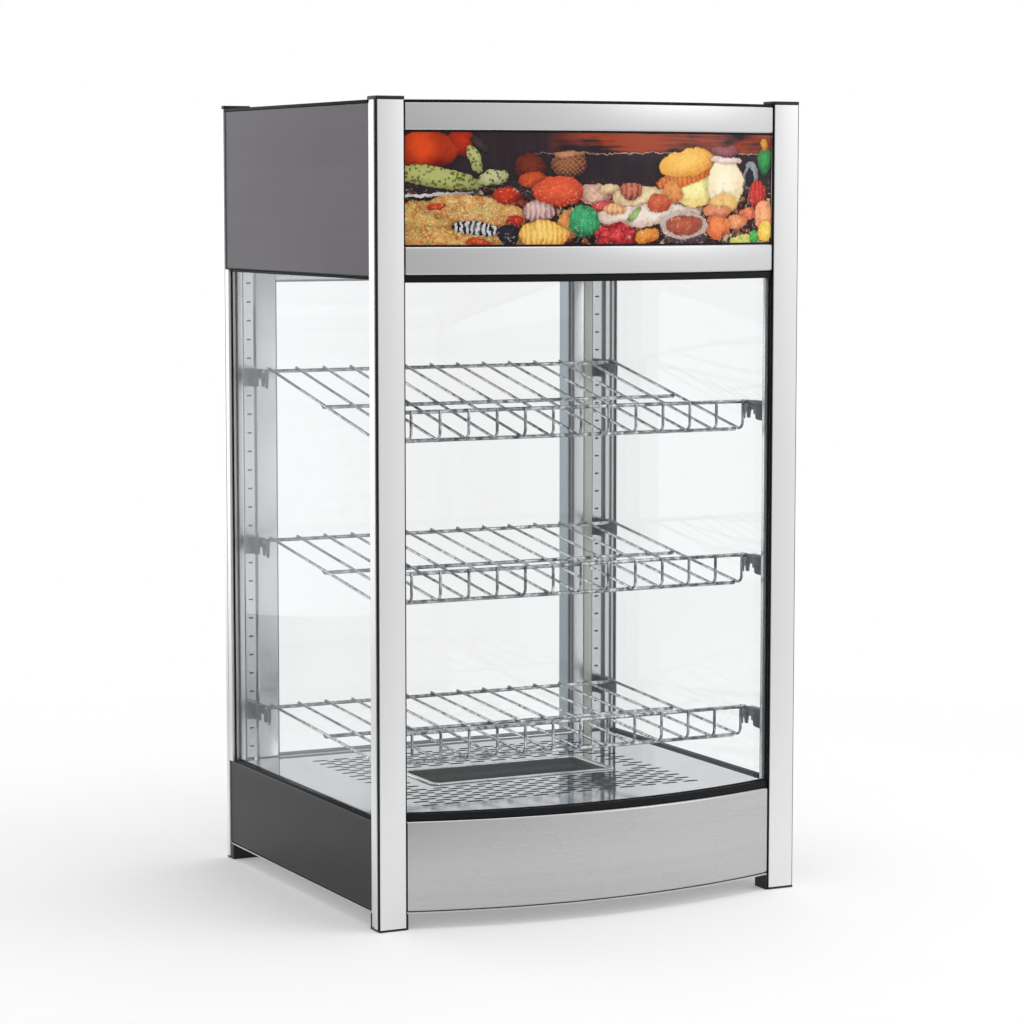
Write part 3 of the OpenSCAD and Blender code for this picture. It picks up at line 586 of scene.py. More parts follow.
def bevelled(work, width, angle=40, segments=3):
    # rounds every sharp edge of the work
    work.normal_update()
    sharp = [
        edge for edge in work.edges
        if len(edge.link_faces) == 2 and edge.calc_face_angle() > math.radians(angle)
    ]
    bmesh.ops.bevel(work, geom=sharp, offset=width * mm, offset_type="OFFSET", segments=segments,
                    profile=0.5, affect="EDGES", clamp_overlap=True)


def strapped(work, here, after):
    # joins two closed loops of vertices with faces
    for i in range(len(here)):
        j = (i + 1) % len(here)
        work.faces.new((here[i], after[i], after[j], here[j]))


def prism(work, outline, axis, start, end):
    # an outline pushed along an axis: (x, y) for Z, (y, z) for X and (x, z) for Y
    def at(point, along):
        a, b = point
        return Vector({"X": (along, a, b), "Y": (a, along, b), "Z": (a, b, along)}[axis]) * mm

    first = [work.verts.new(at(point, start)) for point in outline]
    last = [work.verts.new(at(point, end)) for point in outline]
    work.faces.new(first)
    work.faces.new(last[::-1])
    strapped(work, first, last)


def block(work, low, high, radius=0.6):
    # a box with rounded edges
    part = bmesh.new()
    outline = [(low[0], low[1]), (high[0], low[1]), (high[0], high[1]), (low[0], high[1])]
    prism(part, outline, "Z", low[2], high[2])
    outwards(part)
    if radius:
        bevelled(part, radius)
    joinInto(work, part)


def joinInto(work, part):
    mesh = bpy.data.meshes.new("part")
    part.to_mesh(mesh)
    part.free()
    work.from_mesh(mesh)
    bpy.data.meshes.remove(mesh)


def mirroredX(work):
    # adds the mirror image about the middle of the case
    found = bmesh.ops.duplicate(work, geom=work.verts[:] + work.edges[:] + work.faces[:])["geom"]
    verts = [item for item in found if isinstance(item, bmesh.types.BMVert)]
    faces = [item for item in found if isinstance(item, bmesh.types.BMFace)]
    for vert in verts:
        vert.co.x = -vert.co.x
    bmesh.ops.reverse_faces(work, faces=faces)


def circle(centre, radius, count):
    # (x, z) points of an upright circle
    turns = [2 * math.pi * k / count for k in range(count)]
    return [Vector((centre.x + radius * math.cos(turn), centre.z + radius * math.sin(turn))) for turn in turns]


def circled(work, profile, centre, steps):
    # a profile of (radius, y) repeated round an axis along y: one loop of vertices for each step
    rings = [[(spot.x, y, spot.y) for spot in circle(centre, radius, steps)] for radius, y in profile]
    return [[work.verts.new(Vector(point) * mm) for point in station] for station in zip(*rings)]


def turned(work, profile, centre, steps):
    # a solid of revolution about an axis along y
    loops = circled(work, profile, centre, steps)
    for here, after in zip(loops, loops[1:] + loops[:1]):
        for i in range(len(profile) - 1):
            work.faces.new((here[i], after[i], after[i + 1], here[i + 1]))
    work.faces.new([loop[0] for loop in loops][::-1])
    work.faces.new([loop[-1] for loop in loops])


def addBoxes(name, corners, radius, *rest, mirrored=False):
    # a piece made of rounded boxes, each from its lowest to its highest corner
    work = bmesh.new()
    for low, high in corners:
        block(work, low, high, radius)
    if mirrored:
        mirroredX(work)
    addWork(work, name, *rest)


def addUpright(name, flip, outline, radii, low, high, *rest):
    # an upright bar from its outline on the right-hand side; a flip of -1 puts it on the left
    work = bmesh.new()
    prism(work, [(flip * x, y) for x, y in rounded(outline, radii)], "Z", low, high)
    addWork(work, name, *rest)


around = ((-1, -1), (1, -1), (1, 1), (-1, 1))


# the bowed front

frontPost = cadBoxOf("front_right_post")
rearPost = cadBoxOf("rear_right_post")
frontY = frontPost[0].y
rearY = rearPost[1].y
innerX = frontPost[0].x
outerX = frontPost[1].x

bow = {
    "half": cadHigh("base_front_panel").x,
    "proud": frontY - cadLow("base_front_panel").y + 1,
    "steps": 96,
}
bow["radius"] = (bow["half"] ** 2 + bow["proud"] ** 2) / (2 * bow["proud"])
bow["centreY"] = cadLow("base_front_panel").y + bow["radius"]


def bowedBar(name, profile, half, material, slot, replaces=()):
    # sweeps a closed (inwards, z) profile round the bow and cuts it square at both ends
    work = bmesh.new()
    stations = []
    for k in range(bow["steps"] + 1):
        x = -half + 2 * half * k / bow["steps"]
        station = []
        for inwards, z in profile:
            y = bow["centreY"] - math.sqrt((bow["radius"] - inwards) ** 2 - x ** 2)
            station.append(work.verts.new(Vector((x, y, z)) * mm))
        stations.append(station)
    for here, after in zip(stations, stations[1:]):
        strapped(work, here, after)
    work.faces.new(stations[0])
    work.faces.new(stations[-1][::-1])
    return addWork(work, name, material, "case", slot, replaces)


def foldedPanel(low, high, thickness=1.5, lip=7, radius=2.0):
    # profile of a sheet with a lip folded inwards at its lower and upper edge
    t = thickness / 2
    path = [(lip, low + t), (t, low + t), (t, high - t), (lip, high - t)]
    return bentSheet(path, thickness, radius)


def flatBar(low, high, front, back, radius=0.8):
    return rounded([(front, low), (front, high), (back, high), (back, low)], radius)


baseLow, baseHigh = cadLow("base_front_panel").z, cadHigh("base_front_panel").z
bowedBar("base_front_panel_skin", foldedPanel(baseLow, baseHigh), bow["half"], "front", "brushed_steel",
         ["base_front_panel"])
for rail in ("header_top_rail", "header_bottom_rail"):
    profile = foldedPanel(cadLow(rail).z, cadHigh(rail).z, lip=5, radius=1.6)
    bowedBar(rail + "_skin", profile, bow["half"], "rail", "brushed_steel", [rail])

pictureLow, pictureHigh = cadLow("header_picture").z, cadHigh("header_picture").z
bowedBar("picture_sheet", flatBar(pictureLow + 0.6, pictureHigh - 0.6, 1.6, 3.6, 0.3), bow["half"] - 0.3,
         ["pictureLeft", "pictureMiddle", "pictureRight"], "picture_plastic", ["header_picture"])
sheet = bpy.data.meshes["picture_sheet"]
for polygon in sheet.polygons:
    polygon.material_index = min(2, int((polygon.center.x / mm + bow["half"]) / (2 * third)))
for label, z in (("lower", pictureLow + 0.8), ("upper", pictureHigh - 0.8)):
    profile = flatBar(z - 0.8, z + 0.8, 1.0, 4, 0.4)
    bowedBar("picture_bead_" + label, profile, bow["half"], "rubber", "seal_rubber")

glassHigh = cadHigh("front_glass")
glassLow = cadLow("front_glass")
bowedBar("front_glass_pane", flatBar(glassLow.z, glassHigh.z, 6.0, 10.0, 0.5), glassHigh.x, "glass", "glass",
         ["front_glass"])
for seal in ("front_top_seal", "front_bottom_seal"):
    low, high = cadBoxOf(seal)
    profile = rounded([(1, low.z), (1, high.z), (5.8, high.z), (5.8, low.z)], [1.6, 1.6, 0.2, 0.2])
    bowedBar(seal + "_outer_lip", profile, high.x, "rubber", "seal_rubber", [seal])
    profile = rounded([(10.2, low.z), (10.2, high.z), (13, high.z), (13, low.z)], [0.2, 0.2, 1, 1])
    bowedBar(seal + "_inner_lip", profile, high.x, "rubber", "seal_rubber")
    profile = flatBar(*((high.z - 3, high.z) if "top" in seal else (low.z, low.z + 3)), 5.4, 10.6, 0.2)
    bowedBar(seal + "_web", profile, high.x, "rubber", "seal_rubber")
print("bowed front made")


# posts, caps and shoes

postTrim = {"face": 1.4, "seam": 1.1, "groove": 4.2, "innerGroove": 1.6, "recess": 9.0, "body": 14.5}


def frontPostPieces(side, flip):
    # a bright face, a black strip that paints the shade of the groove beside it and of the post's inner edge,
    # and the body behind
    foot, backY, top = frontPost[0].z, frontPost[1].y, frontPost[1].z
    grooveEnd = frontY + postTrim["face"] + postTrim["groove"]
    innerEnd = frontY + postTrim["face"] + postTrim["innerGroove"]
    node = f"front_{side}_post"
    left, right, back = innerX + postTrim["seam"], outerX - postTrim["seam"], frontY + postTrim["face"]
    face = [(left, frontY), (right, frontY), (right, back), (left, back)]
    metal = ("post", "case", "post_aluminium")
    addUpright(node + "_face", flip, face, [0.7, 0.7, 0, 0], foot, top, *metal, [node])
    left, right, back = left - 0.05, right + 0.05, back + 0.02
    # the black strip stands in for the shade in the groove and along the inner edge
    seam = [
        (innerX, frontY + 0.5), (left, frontY + 0.5), (left, back), (right, back), (right, frontY + 0.5),
        (outerX - 0.2, frontY + 0.7), (outerX - 0.2, frontY + 1.6), (outerX - 1.2, frontY + 2.0),
        (outerX - 1.2, grooveEnd), (innerX, innerEnd),
    ]
    radii = [0.3, 0.3, 0, 0, 0.3, 0.3, 0.3, 0.3, 0, 0]
    addUpright(node + "_groove_strip", flip, seam, radii, foot, top, "rubber", "case", "black_plastic")
    bodyX, recessY = innerX + postTrim["body"], backY - postTrim["recess"]
    body = [
        (innerX, innerEnd + 0.02), (outerX, grooveEnd + 0.02), (outerX, grooveEnd + 7),
        (outerX - 1.3, grooveEnd + 9), (outerX - 1.5, backY), (bodyX, backY), (bodyX, recessY),
        (innerX, recessY),
    ]
    radii = [0, 0.6, 1.0, 3.0, 0.4, 0.4, 0.8, 0.5]
    addUpright(node + "_body", flip, body, radii, foot, top, *metal)


def rearPostPieces(side, flip):
    # a flat bar and the filler between it and the side glass
    node = f"rear_{side}_post"
    barY, fillX = rearY - 7, innerX + postTrim["body"]
    foot, frontOf, top = rearPost[0].z, rearPost[0].y, rearPost[1].z
    bar = [(innerX, barY), (outerX, barY), (outerX, rearY), (innerX, rearY)]
    metal = ("post", "case", "post_aluminium")
    addUpright(node + "_bar", flip, bar, 0.8, foot, top, *metal, [node])
    foot, top = cadHigh("base_right_panel").z, cadLow("header_right_panel").z
    filler = [(fillX, frontOf), (outerX, frontOf), (outerX, barY - 1), (outerX - 1.4, barY - 0.1),
              (fillX, barY - 0.1)]
    addUpright(node + "_filler", flip, filler, [0.6, 0.8, 0.4, 0.2, 0.2], foot, top, *metal)


for makePost in (frontPostPieces, rearPostPieces):
    for side, flip in (("left", -1), ("right", 1)):
        makePost(side, flip)

capLow, capHigh = cadBoxOf("post_caps")
caps = [((innerX, front, capLow.z), (outerX, back, capHigh.z))
        for front, back in ((frontY, frontPost[1].y), (rearY - 9, rearY))]
addBoxes("post_end_caps", caps, 1.1, "plastic", "case", "black_plastic", ["post_caps"], mirrored=True)

shoe = {"pad": 2.4, "skirt": 1.5, "rearDepth": 10, "top": cadHigh("post_feet").z}
work = bmesh.new()
backY = frontPost[1].y
block(work, (innerX, frontY, 0), (outerX, backY, shoe["pad"]), 0.5)
skirt = rounded([(frontY + 1, 0), (backY + shoe["skirt"], 0), (backY + shoe["skirt"], shoe["top"]),
                 (frontY + 1, shoe["top"])], [0.4, 0.4, 4, 0.4])
prism(work, skirt, "X", innerX - shoe["skirt"], innerX - 0.02)
block(work, (innerX - shoe["skirt"], backY + 0.02, 0), (outerX - 1, backY + shoe["skirt"], shoe["top"]), 0.5)
rearFront = rearY - 7 - shoe["rearDepth"]
block(work, (innerX - shoe["skirt"], rearFront, 0), (outerX - 0.5, rearY - 7.02, shoe["top"]), 1.0)
block(work, (innerX, rearY - 7, 0), (outerX, rearY, shoe["pad"]), 0.5)
mirroredX(work)
addWork(work, "post_shoes", "plastic", "case", "black_plastic", ["post_feet"])
print("posts made")


# side panels and top

def sidePanel(side, part, material, slot):
    flip = 1 if side == "right" else -1
    node = f"{part}_{side}_panel"
    low, high = cadBoxOf(node)
    out = outerX - 1.5
    t = 0.75
    path = [(out - 10, low.z + t), (out - t, low.z + t), (out - t, high.z - t), (out - 10, high.z - t)]
    outline = [(flip * p[0], p[1]) for p in bentSheet(path, 2 * t, 1.8)]
    work = bmesh.new()
    prism(work, outline, "Y", low.y, high.y)
    addWork(work, node + "_skin", material, "case", slot, [node])


for side in ("left", "right"):
    sidePanel(side, "header", "headerSide", "header_steel")
    sidePanel(side, "base", "baseSide", "dark_steel")


def bowOutline(radius, halfSide, halfFront, sideY, backY, steps=64):
    # outline of a plate that runs across the sides and bows out between the front posts
    points = [(halfSide, sideY), (halfSide, backY), (-halfSide, backY), (-halfSide, sideY),
              (-halfFront, sideY)]
    for k in range(steps + 1):
        x = -halfFront + 2 * halfFront * k / steps
        points.append((x, bow["centreY"] - math.sqrt(radius ** 2 - x ** 2)))
    return points + [(halfFront, sideY)]


coverLow, coverHigh = cadBoxOf("header_top_cover")
work = bmesh.new()
between, notch = innerX - 0.3, coverHigh.y - 5.6
outline = bowOutline(bow["radius"], coverHigh.x, between, backY, notch)
# between the rear posts the sheet reaches over the rear panel's edge
outline[2:2] = [(between, notch), (between, coverHigh.y), (-between, coverHigh.y), (-between, notch)]
prism(work, outline, "Z", coverLow.z, coverHigh.z)
outwards(work)
bevelled(work, 0.4)
addWork(work, "header_top_sheet", "headerSide", "case", "header_steel", ["header_top_cover"])

# the black bead that hides the cover's cut edge, also painting the dark line of shade under that edge
bowedBar("top_edge_shade_bead_front", flatBar(coverLow.z - 0.9, coverHigh.z + 0.3, 0.0, 1.4, 0.6), bow["half"],
         "rubber", "seal_rubber")
bead = ((coverHigh.x - 1.2, backY + 0.2, coverLow.z - 1.4), (outerX - 0.6, rearY - 9, coverHigh.z + 0.3))
addBoxes("top_edge_shade_beads", [bead], 0.6, "rubber", "case", "seal_rubber", mirrored=True)


# glass and its seals

for side in ("left", "right"):
    node = side + "_glass"
    addBoxes(node + "_pane", [cadBoxOf(node)], 0.5, "glass", "case", "glass", [node])

low, high = cadBoxOf("side_glass_seals")
paneLow, paneHigh = cadBoxOf("right_glass")
sideLip = 2.2
lipIn, lipOut = (paneLow.x - 1.5, paneLow.x - 0.02), (paneHigh.x + 0.02, high.x)
lips = [((x0, low.y, z), (x1, high.y, z + sideLip))
        for x0, x1 in (lipIn, lipOut) for z in (low.z, high.z - sideLip)]
addBoxes("side_glass_lips", lips, 0.4, "rubber", "case", "seal_rubber", ["side_glass_seals"], mirrored=True)
for label, (x0, x1), finish in (("inner", lipIn, "bead"), ("outer", lipOut, "rubber")):
    upright = ((x0, high.y - 2.4, low.z + sideLip), (x1, high.y, high.z - sideLip))
    addBoxes("side_glass_upright_" + label, [upright], 0.4, finish, "case", "seal_rubber", mirrored=True)

low, high = cadBoxOf("front_side_seals")
for label, near, far, proud, finish, replaces in (
    ("outer", 1.4, 3.2, 1.8, "rubber", ["front_side_seals"]), ("inner", 7.8, 9.2, 1.2, "bead", []),
):
    work = bmesh.new()
    corners = [(high.x - proud, low.y + near + 0.2), (high.x, low.y + near),
               (high.x, low.y + far), (high.x - proud, low.y + far - 0.2)]
    prism(work, rounded(corners, 0.4), "Z", low.z, high.z)
    mirroredX(work)
    addWork(work, "front_side_lips_" + label, finish, "case", "seal_rubber", replaces)
print("panels and glass made")


# floor plate and water tray

floorPlate = {
    "slot": 18, "slotWidth": 6.0, "pitch": (25, 10), "rows": 14, "columns": 6, "spread": 155, "keep": 12,
}
trayLow, trayHigh = cadBoxOf("water_tray")
trayCentre = (trayLow + trayHigh) / 2
trayRim = 7
panHalf = ((trayHigh.x - trayLow.x) / 2 - trayRim, (trayHigh.y - trayLow.y) / 2 - trayRim)


def slotCentres():
    plate = floorPlate
    for row in range(-plate["rows"], plate["rows"] + 1):
        for column in range(-plate["columns"], plate["columns"] + 1):
            x = (column + 0.5 * (row % 2)) * plate["pitch"][0]
            y = trayCentre.y + row * plate["pitch"][1]
            besideTray = abs(x - trayCentre.x) > panHalf[0] + 1 + plate["slot"] / 2 + plate["keep"]
            aheadOfTray = abs(y - trayCentre.y) > panHalf[1] + 1 + plate["keep"]
            if (besideTray or aheadOfTray) and abs(x) < plate["spread"]:
                yield x, y


def pierced(outline, holes, thickness):
    # a flat sheet with holes, lying across z = 0
    curve = bpy.data.curves.new("pierced", "CURVE")
    curve.dimensions = "2D"
    curve.fill_mode = "BOTH"
    curve.extrude = thickness / 2 * mm
    for points in [outline, *holes]:
        loop = curve.splines.new("POLY")
        loop.points.add(len(points) - 1)
        for vert, (x, y) in zip(loop.points, points):
            vert.co = (x * mm, y * mm, 0, 1)
        loop.use_cyclic_u = True
    flat = bpy.data.objects.new("pierced", curve)
    bpy.context.scene.collection.objects.link(flat)
    bpy.context.view_layer.update()
    mesh = bpy.data.meshes.new_from_object(flat.evaluated_get(bpy.context.evaluated_depsgraph_get()))
    bpy.data.objects.remove(flat)
    mesh.materials.clear()
    return mesh


def obround(x, y, length, width):
    a, b = length / 2, width / 2
    return rounded([(x - a, y - b), (x + a, y - b), (x + a, y + b), (x - a, y + b)], b * 0.98)


low, high = cadBoxOf("floor_plate")
outline = bowOutline(bow["radius"] - 13.5, high.x - 0.2, innerX - 0.5, backY + 0.4, high.y - 1.6)
hole = [(trayCentre.x + sx * (panHalf[0] + 1.2), trayCentre.y + sy * (panHalf[1] + 1.2)) for sx, sy in around]
holes = [obround(x, y, floorPlate["slot"], floorPlate["slotWidth"]) for x, y in slotCentres()]
mesh = pierced(outline, [rounded(hole, 6), *holes], high.z - low.z)
mesh.name = "floor_sheet"
for vert in mesh.vertices:
    vert.co.z += (high.z + low.z) / 2 * mm
addPiece("floor_sheet", mesh, ["mirror", "painted_shade"], "case", "mirror_steel", ["floor_plate"])
# the walls of the slots take the painted shade
for polygon in mesh.polygons:
    if abs(polygon.normal.z) < 0.5:
        polygon.material_index = 1
flange = ((-innerX + 0.3, high.y - 1.2, low.z), (innerX - 0.3, high.y, high.z - 1.5))
addBoxes("floor_rear_flange", [flange], 0.4, "pan", "case", "mirror_steel")


def ringOf(work, centre, halfX, halfY, corner, z):
    corners = [(centre.x + sx * halfX, centre.y + sy * halfY) for sx, sy in around]
    return [work.verts.new(Vector((p.x, p.y, z)) * mm) for p in rounded(corners, corner)]


rimTop = trayHigh.z
bottom = trayLow.z
hx, hy = panHalf
work = bmesh.new()
# the pan's section: how far outside its inner wall (or its outer edge), the corner's radius and the height
section = [(-3, 6, bottom), (-0.8, 7, bottom + 0.8), (0, 7, bottom + 3), (0, 7, rimTop - 1.3),
           (trayRim - 1, 9, rimTop - 1.3), (trayRim - 0.3, 9.5, rimTop - 1.1), (trayRim, 10, rimTop - 0.7),
           (trayRim - 0.4, 9.6, rimTop - 0.15), (trayRim - 1.4, 9, rimTop), (1.8, 7, rimTop),
           (0.4, 6.5, rimTop - 0.3), (-0.6, 6.2, rimTop - 1.1), (-1.1, 6, rimTop - 2.4), (-1.2, 6, bottom + 5),
           (-2.4, 5, bottom + 2), (-5, 4, bottom + 1.2)]
loops = [ringOf(work, trayCentre, hx + out, hy + out, corner, z) for out, corner, z in section]
for here, after in zip(loops, loops[1:]):
    strapped(work, here, after)
work.faces.new(loops[0])
work.faces.new(loops[-1])
mesh = meshOf("water_pan", work)
addPiece("water_pan", mesh, ["tray", "painted_shade"], "tray", "tray_steel", ["water_tray"])
# the tray's inner walls and floor take the painted shade
for polygon in mesh.polygons:
    spot = polygon.center / mm
    within = abs(spot.x - trayCentre.x) < hx - 0.4 and abs(spot.y - trayCentre.y) < hy - 0.4
    if within and polygon.normal.z > -0.5 and spot.z > bottom + 1.1 and spot.z < rimTop - 0.9:
        polygon.material_index = 1
print("floor and tray made")


# shelves

shelf = {
    "rearY": 147.0, "lipY": -140.0, "midY": 3.5, "wire": 3.0, "cross": 4.0, "count": 14, "width": 409.5,
    "bend": 8.0, "weld": 0.8, "wireEnd": 213.0, "lipHeight": 32.0, "tail": 3.0, "weldBead": (2.3, 1.7, 1.5),
    "levels": {"bottom": (170, 183), "middle": (350, 343), "top": (530, 503)},
}


def wireCurve(name, body, replaces):
    curve = bpy.data.curves.new(name, "CURVE")
    curve.dimensions = "3D"
    curve.bevel_depth = 1.0
    curve.bevel_resolution = 5
    curve.use_fill_caps = True
    piece = bpy.data.objects.new(name, curve)
    bpy.context.scene.collection.objects.link(piece)
    curve.materials.append(mats["wire"])
    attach(piece, body)
    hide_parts(*replaces)
    return curve


def addWire(curve, points, radius):
    # the last stretch at both ends narrows to a rounded tip
    points = [Vector(point) for point in points]
    first = (points[1] - points[0]).normalized()
    last = (points[-2] - points[-1]).normalized()
    tips = [(0.0, 0.35), (0.25, 0.75), (0.7, 1.0)]
    start = [(points[0] + first * radius * along, radius * share) for along, share in tips]
    end = [(points[-1] + last * radius * along, radius * share) for along, share in tips[::-1]]
    whole = start + [(point, radius) for point in points[1:-1]] + end
    spline = curve.splines.new("POLY")
    spline.points.add(len(whole) - 1)
    for vert, (point, size) in zip(spline.points, whole):
        vert.co = (*(point * mm), 1)
        vert.radius = size * mm
    spline.use_smooth = True


def shelfWires(level):
    rearZ, lipZ = shelf["levels"][level]
    frontZ = lipZ - shelf["lipHeight"]
    slope = math.atan((rearZ - frontZ) / (shelf["rearY"] - shelf["lipY"]))
    wireR, crossR = shelf["wire"] / 2, shelf["cross"] / 2
    step = wireR + crossR - shelf["weld"]

    def deckZ(y):
        return rearZ + step / math.cos(slope) + (y - shelf["rearY"]) * math.tan(slope)

    upY = shelf["lipY"] - step
    bendY = upY + shelf["bend"]
    bendZ = deckZ(bendY) + shelf["bend"] / math.cos(slope)
    body = level + "_shelf"
    curve = wireCurve(level + "_shelf_wires", body, [body + "_deck", body + "_lip"])
    xs = [-shelf["width"] / 2 + i * shelf["width"] / (shelf["count"] - 1) for i in range(shelf["count"])]
    for x in xs:
        points = [(x, upY, lipZ + 1.5), (x, upY, (lipZ + bendZ) / 2)]
        turnSteps = 12
        for k in range(turnSteps + 1):
            angle = (math.pi / 2 + slope) * k / turnSteps
            inY, inZ = shelf["bend"] * math.cos(angle), shelf["bend"] * math.sin(angle)
            points.append((x, bendY - inY, bendZ - inZ))
        tailY = shelf["rearY"] + shelf["tail"]
        points += [(x, shelf["midY"], deckZ(shelf["midY"])), (x, tailY, deckZ(tailY))]
        addWire(curve, points, wireR)
    edge = shelf["width"] / 2 + 1
    bars = [(shelf["rearY"], rearZ, shelf["wireEnd"]), (shelf["lipY"], lipZ, shelf["wireEnd"])]
    startY = bendY + shelf["bend"] * math.sin(slope)
    for y in (shelf["midY"], startY + 6):
        bars.append((y, deckZ(y) - step / math.cos(slope), edge))
    for y, z, half in bars:
        addWire(curve, [(-half, y, z), (0, y, z), (half, y, z)], crossR)

    # a small squashed bead of weld metal where two wires cross
    work = bmesh.new()
    for y, z, half in bars:
        isLip = y == shelf["lipY"]
        centre = Vector((0, y - 1.0, z)) if isLip else Vector((0, y, z + step / 2 + 0.35))
        for x in xs:
            bead = bmesh.ops.create_icosphere(work, subdivisions=2, radius=1.0)["verts"]
            for vert in bead:
                vert.co = (Vector((x, centre.y, centre.z)) + vert.co * Vector(shelf["weldBead"])) * mm
    addWork(work, level + "_shelf_welds", "wire", body, "shelf_chrome")


for level in shelf["levels"]:
    shelfWires(level)
print("shelves made")


# slotted strips and shelf clips

strip = {
    "sheet": 1.2, "slot": (5.0, 1.8), "pitch": 20.0, "margin": 6.0, "first": {"front": 115.0, "rear": 122.0},
}


def stripPieces(end, faceY, backY):
    # a folded channel with a row of slots in its face
    node = f"{end}_slotted_strips"
    low, high = cadBoxOf(node)
    x0, x1 = innerX + 0.5, high.x
    outline = [(x0, low.z), (x1, low.z), (x1, high.z), (x0, high.z)]
    holes = []
    z = strip["first"][end]
    while z < high.z - strip["margin"]:
        holes.append(obround(clip["inner"] + 2.2, z, *strip["slot"]))
        z += strip["pitch"]
    inwards = 1 if backY > faceY else -1
    mesh = pierced(outline, holes, strip["sheet"])
    for vert in mesh.vertices:
        x, z, depth = vert.co
        vert.co = (x, (faceY + inwards * strip["sheet"] / 2) * mm - depth, z)
    work = bmesh.new()
    work.from_mesh(mesh)
    bpy.data.meshes.remove(mesh)
    ys = sorted((faceY + inwards * (strip["sheet"] + 0.01), backY))
    for a, b in ((x0, x0 + strip["sheet"]), (x1 - strip["sheet"], x1)):
        block(work, (a, ys[0], low.z), (b, ys[1], high.z), 0.3)
    mirroredX(work)
    addWork(work, node + "_channels", "strip", "case", "strip_steel", [node])


clip = {"inner": 208.5, "plate": 2.0, "height": 20.0, "seat": 2.3, "past": 6.5}
stripPieces("front", cadHigh("front_slotted_strips").y, cadLow("front_slotted_strips").y)
stripPieces("rear", cadLow("rear_slotted_strips").y, cadHigh("rear_slotted_strips").y)


def clipShape(work, faceY, wireY, wireZ):
    # a cranked arm from the slotted strip to the wire, with two prongs under the wire's seat
    way = 1 if wireY > faceY else -1
    length = abs(wireY - faceY)
    top = 1.9
    seat = clip["seat"]
    past = length + clip["past"]
    drop = clip["height"]

    def at(y, z):
        return (faceY + way * y, wireZ + z)

    arm = [
        (0.1, top), (length - seat - 1.4, top), (length - seat, top - 1.2), (length - seat, -0.4),
        (length - seat * 0.7, -seat * 0.75), (length, -seat), (length + seat * 0.7, -seat * 0.75),
        (length + seat, -0.4), (length + seat, top - 1.0), (length + seat + 1.2, top), (past, top - 0.5),
        (past, -drop * 0.55), (past - 1.5, -drop + 2), (past - 5.2, -drop + 2), (past - 5.8, -drop * 0.6),
        (past - 8.0, -drop * 0.5), (past - 10.2, -drop * 0.6), (past - 11.0, -drop + 3.4),
        (past - 15.5, -drop + 3.4), (past - 17.0, -drop * 0.45), (past - 22, -drop * 0.36),
        (past - 27, -drop * 0.5), (past - 28.5, -drop + 3), (past - 34, -drop + 2), (0.1, -drop + 2),
    ]
    part = bmesh.new()
    prism(part, [at(y, z) for y, z in arm], "X", clip["inner"], clip["inner"] + clip["plate"])
    outwards(part)
    bevelled(part, 0.35, segments=2)
    joinInto(work, part)
    # folded top flange, the foot on the strip and a tab on the arm
    x1 = clip["inner"] + clip["plate"]
    ys = sorted((faceY + way * 0.2, faceY + way * (length - 9)))
    block(work, (x1 - 0.6, ys[0], wireZ + 0.5), (x1 + 5.2, ys[1], wireZ + top), 0.5)
    ys = sorted((faceY + way * 0.15, faceY + way * 2.0))
    block(work, (clip["inner"] - 2.6, ys[0], wireZ + 2 - drop), (x1 + 5.2, ys[1], wireZ + top), 0.6)
    ys = sorted((faceY + way * (length * 0.42), faceY + way * (length * 0.42 + 9)))
    block(work, (x1 - 0.4, ys[0], wireZ - drop * 0.62), (x1 + 2.6, ys[1], wireZ + 0.4), 0.9)


work = bmesh.new()
rearFace = cadLow("rear_slotted_strips").y
frontFace = cadHigh("front_slotted_strips").y
for rearZ, lipZ in shelf["levels"].values():
    clipShape(work, rearFace, shelf["rearY"], rearZ)
    clipShape(work, frontFace, shelf["lipY"], lipZ)
mirroredX(work)
addWork(work, "shelf_clip_plates", "zinc", "case", "clip_zinc", ["shelf_clips"])
print("clips made")


# rear door

doorLow, doorHigh = cadLow("door_hinge_stile"), cadHigh("door_latch_stile")
stileW = cadHigh("door_hinge_stile").x - doorLow.x


for part in ("hinge_stile", "latch_stile", "top_rail", "bottom_rail"):
    node = "door_" + part
    addBoxes(node + "_bar", [cadBoxOf(node)], 1.2, "door", "door", "door_aluminium", [node])
addBoxes("door_glass_pane", [cadBoxOf("door_glass")], 0.4, "glass", "door", "glass", ["door_glass"])

# glazing beads round the pane on both faces
railLow, railHigh = cadHigh("door_bottom_rail").z, cadLow("door_top_rail").z
inside = doorHigh.x - stileW
beads = []
for y0, y1 in ((doorLow.y + 2.2, doorLow.y + 4.9), (doorLow.y + 9.1, doorLow.y + 11.8)):
    beads += [((x, y0, railLow), (x + 2, y1, railHigh)) for x in (-inside, inside - 2)]
    beads += [((-inside, y0, z), (inside, y1, z + 2)) for z in (railLow, railHigh - 2)]
addBoxes("door_glazing_beads", beads, 0.5, "bead", "door", "seal_rubber")
magnet = ((doorHigh.x - 10.5, doorLow.y - 1.4, doorLow.z + 2),
          (doorHigh.x - 0.6, doorLow.y - 0.02, doorHigh.z - 2))
addBoxes("door_magnet_strip", [magnet], 0.6, "gasket", "door", "seal_rubber")

pullLow, pullHigh = cadBoxOf("door_handle")
path = [(pullLow.x + 17.5, doorHigh.y + 1), (pullLow.x + 1, doorHigh.y + 1), (pullLow.x + 1, pullHigh.y - 1),
        (pullHigh.x - 1, pullHigh.y - 1), (pullHigh.x - 1, pullHigh.y - 7)]
work = bmesh.new()
prism(work, bentSheet(path, 2.0, 2.4), "Z", pullLow.z, pullHigh.z)
addWork(work, "door_pull", "handle", "door", "handle_aluminium", ["door_handle"])
print("door made")


# controls and rear hardware

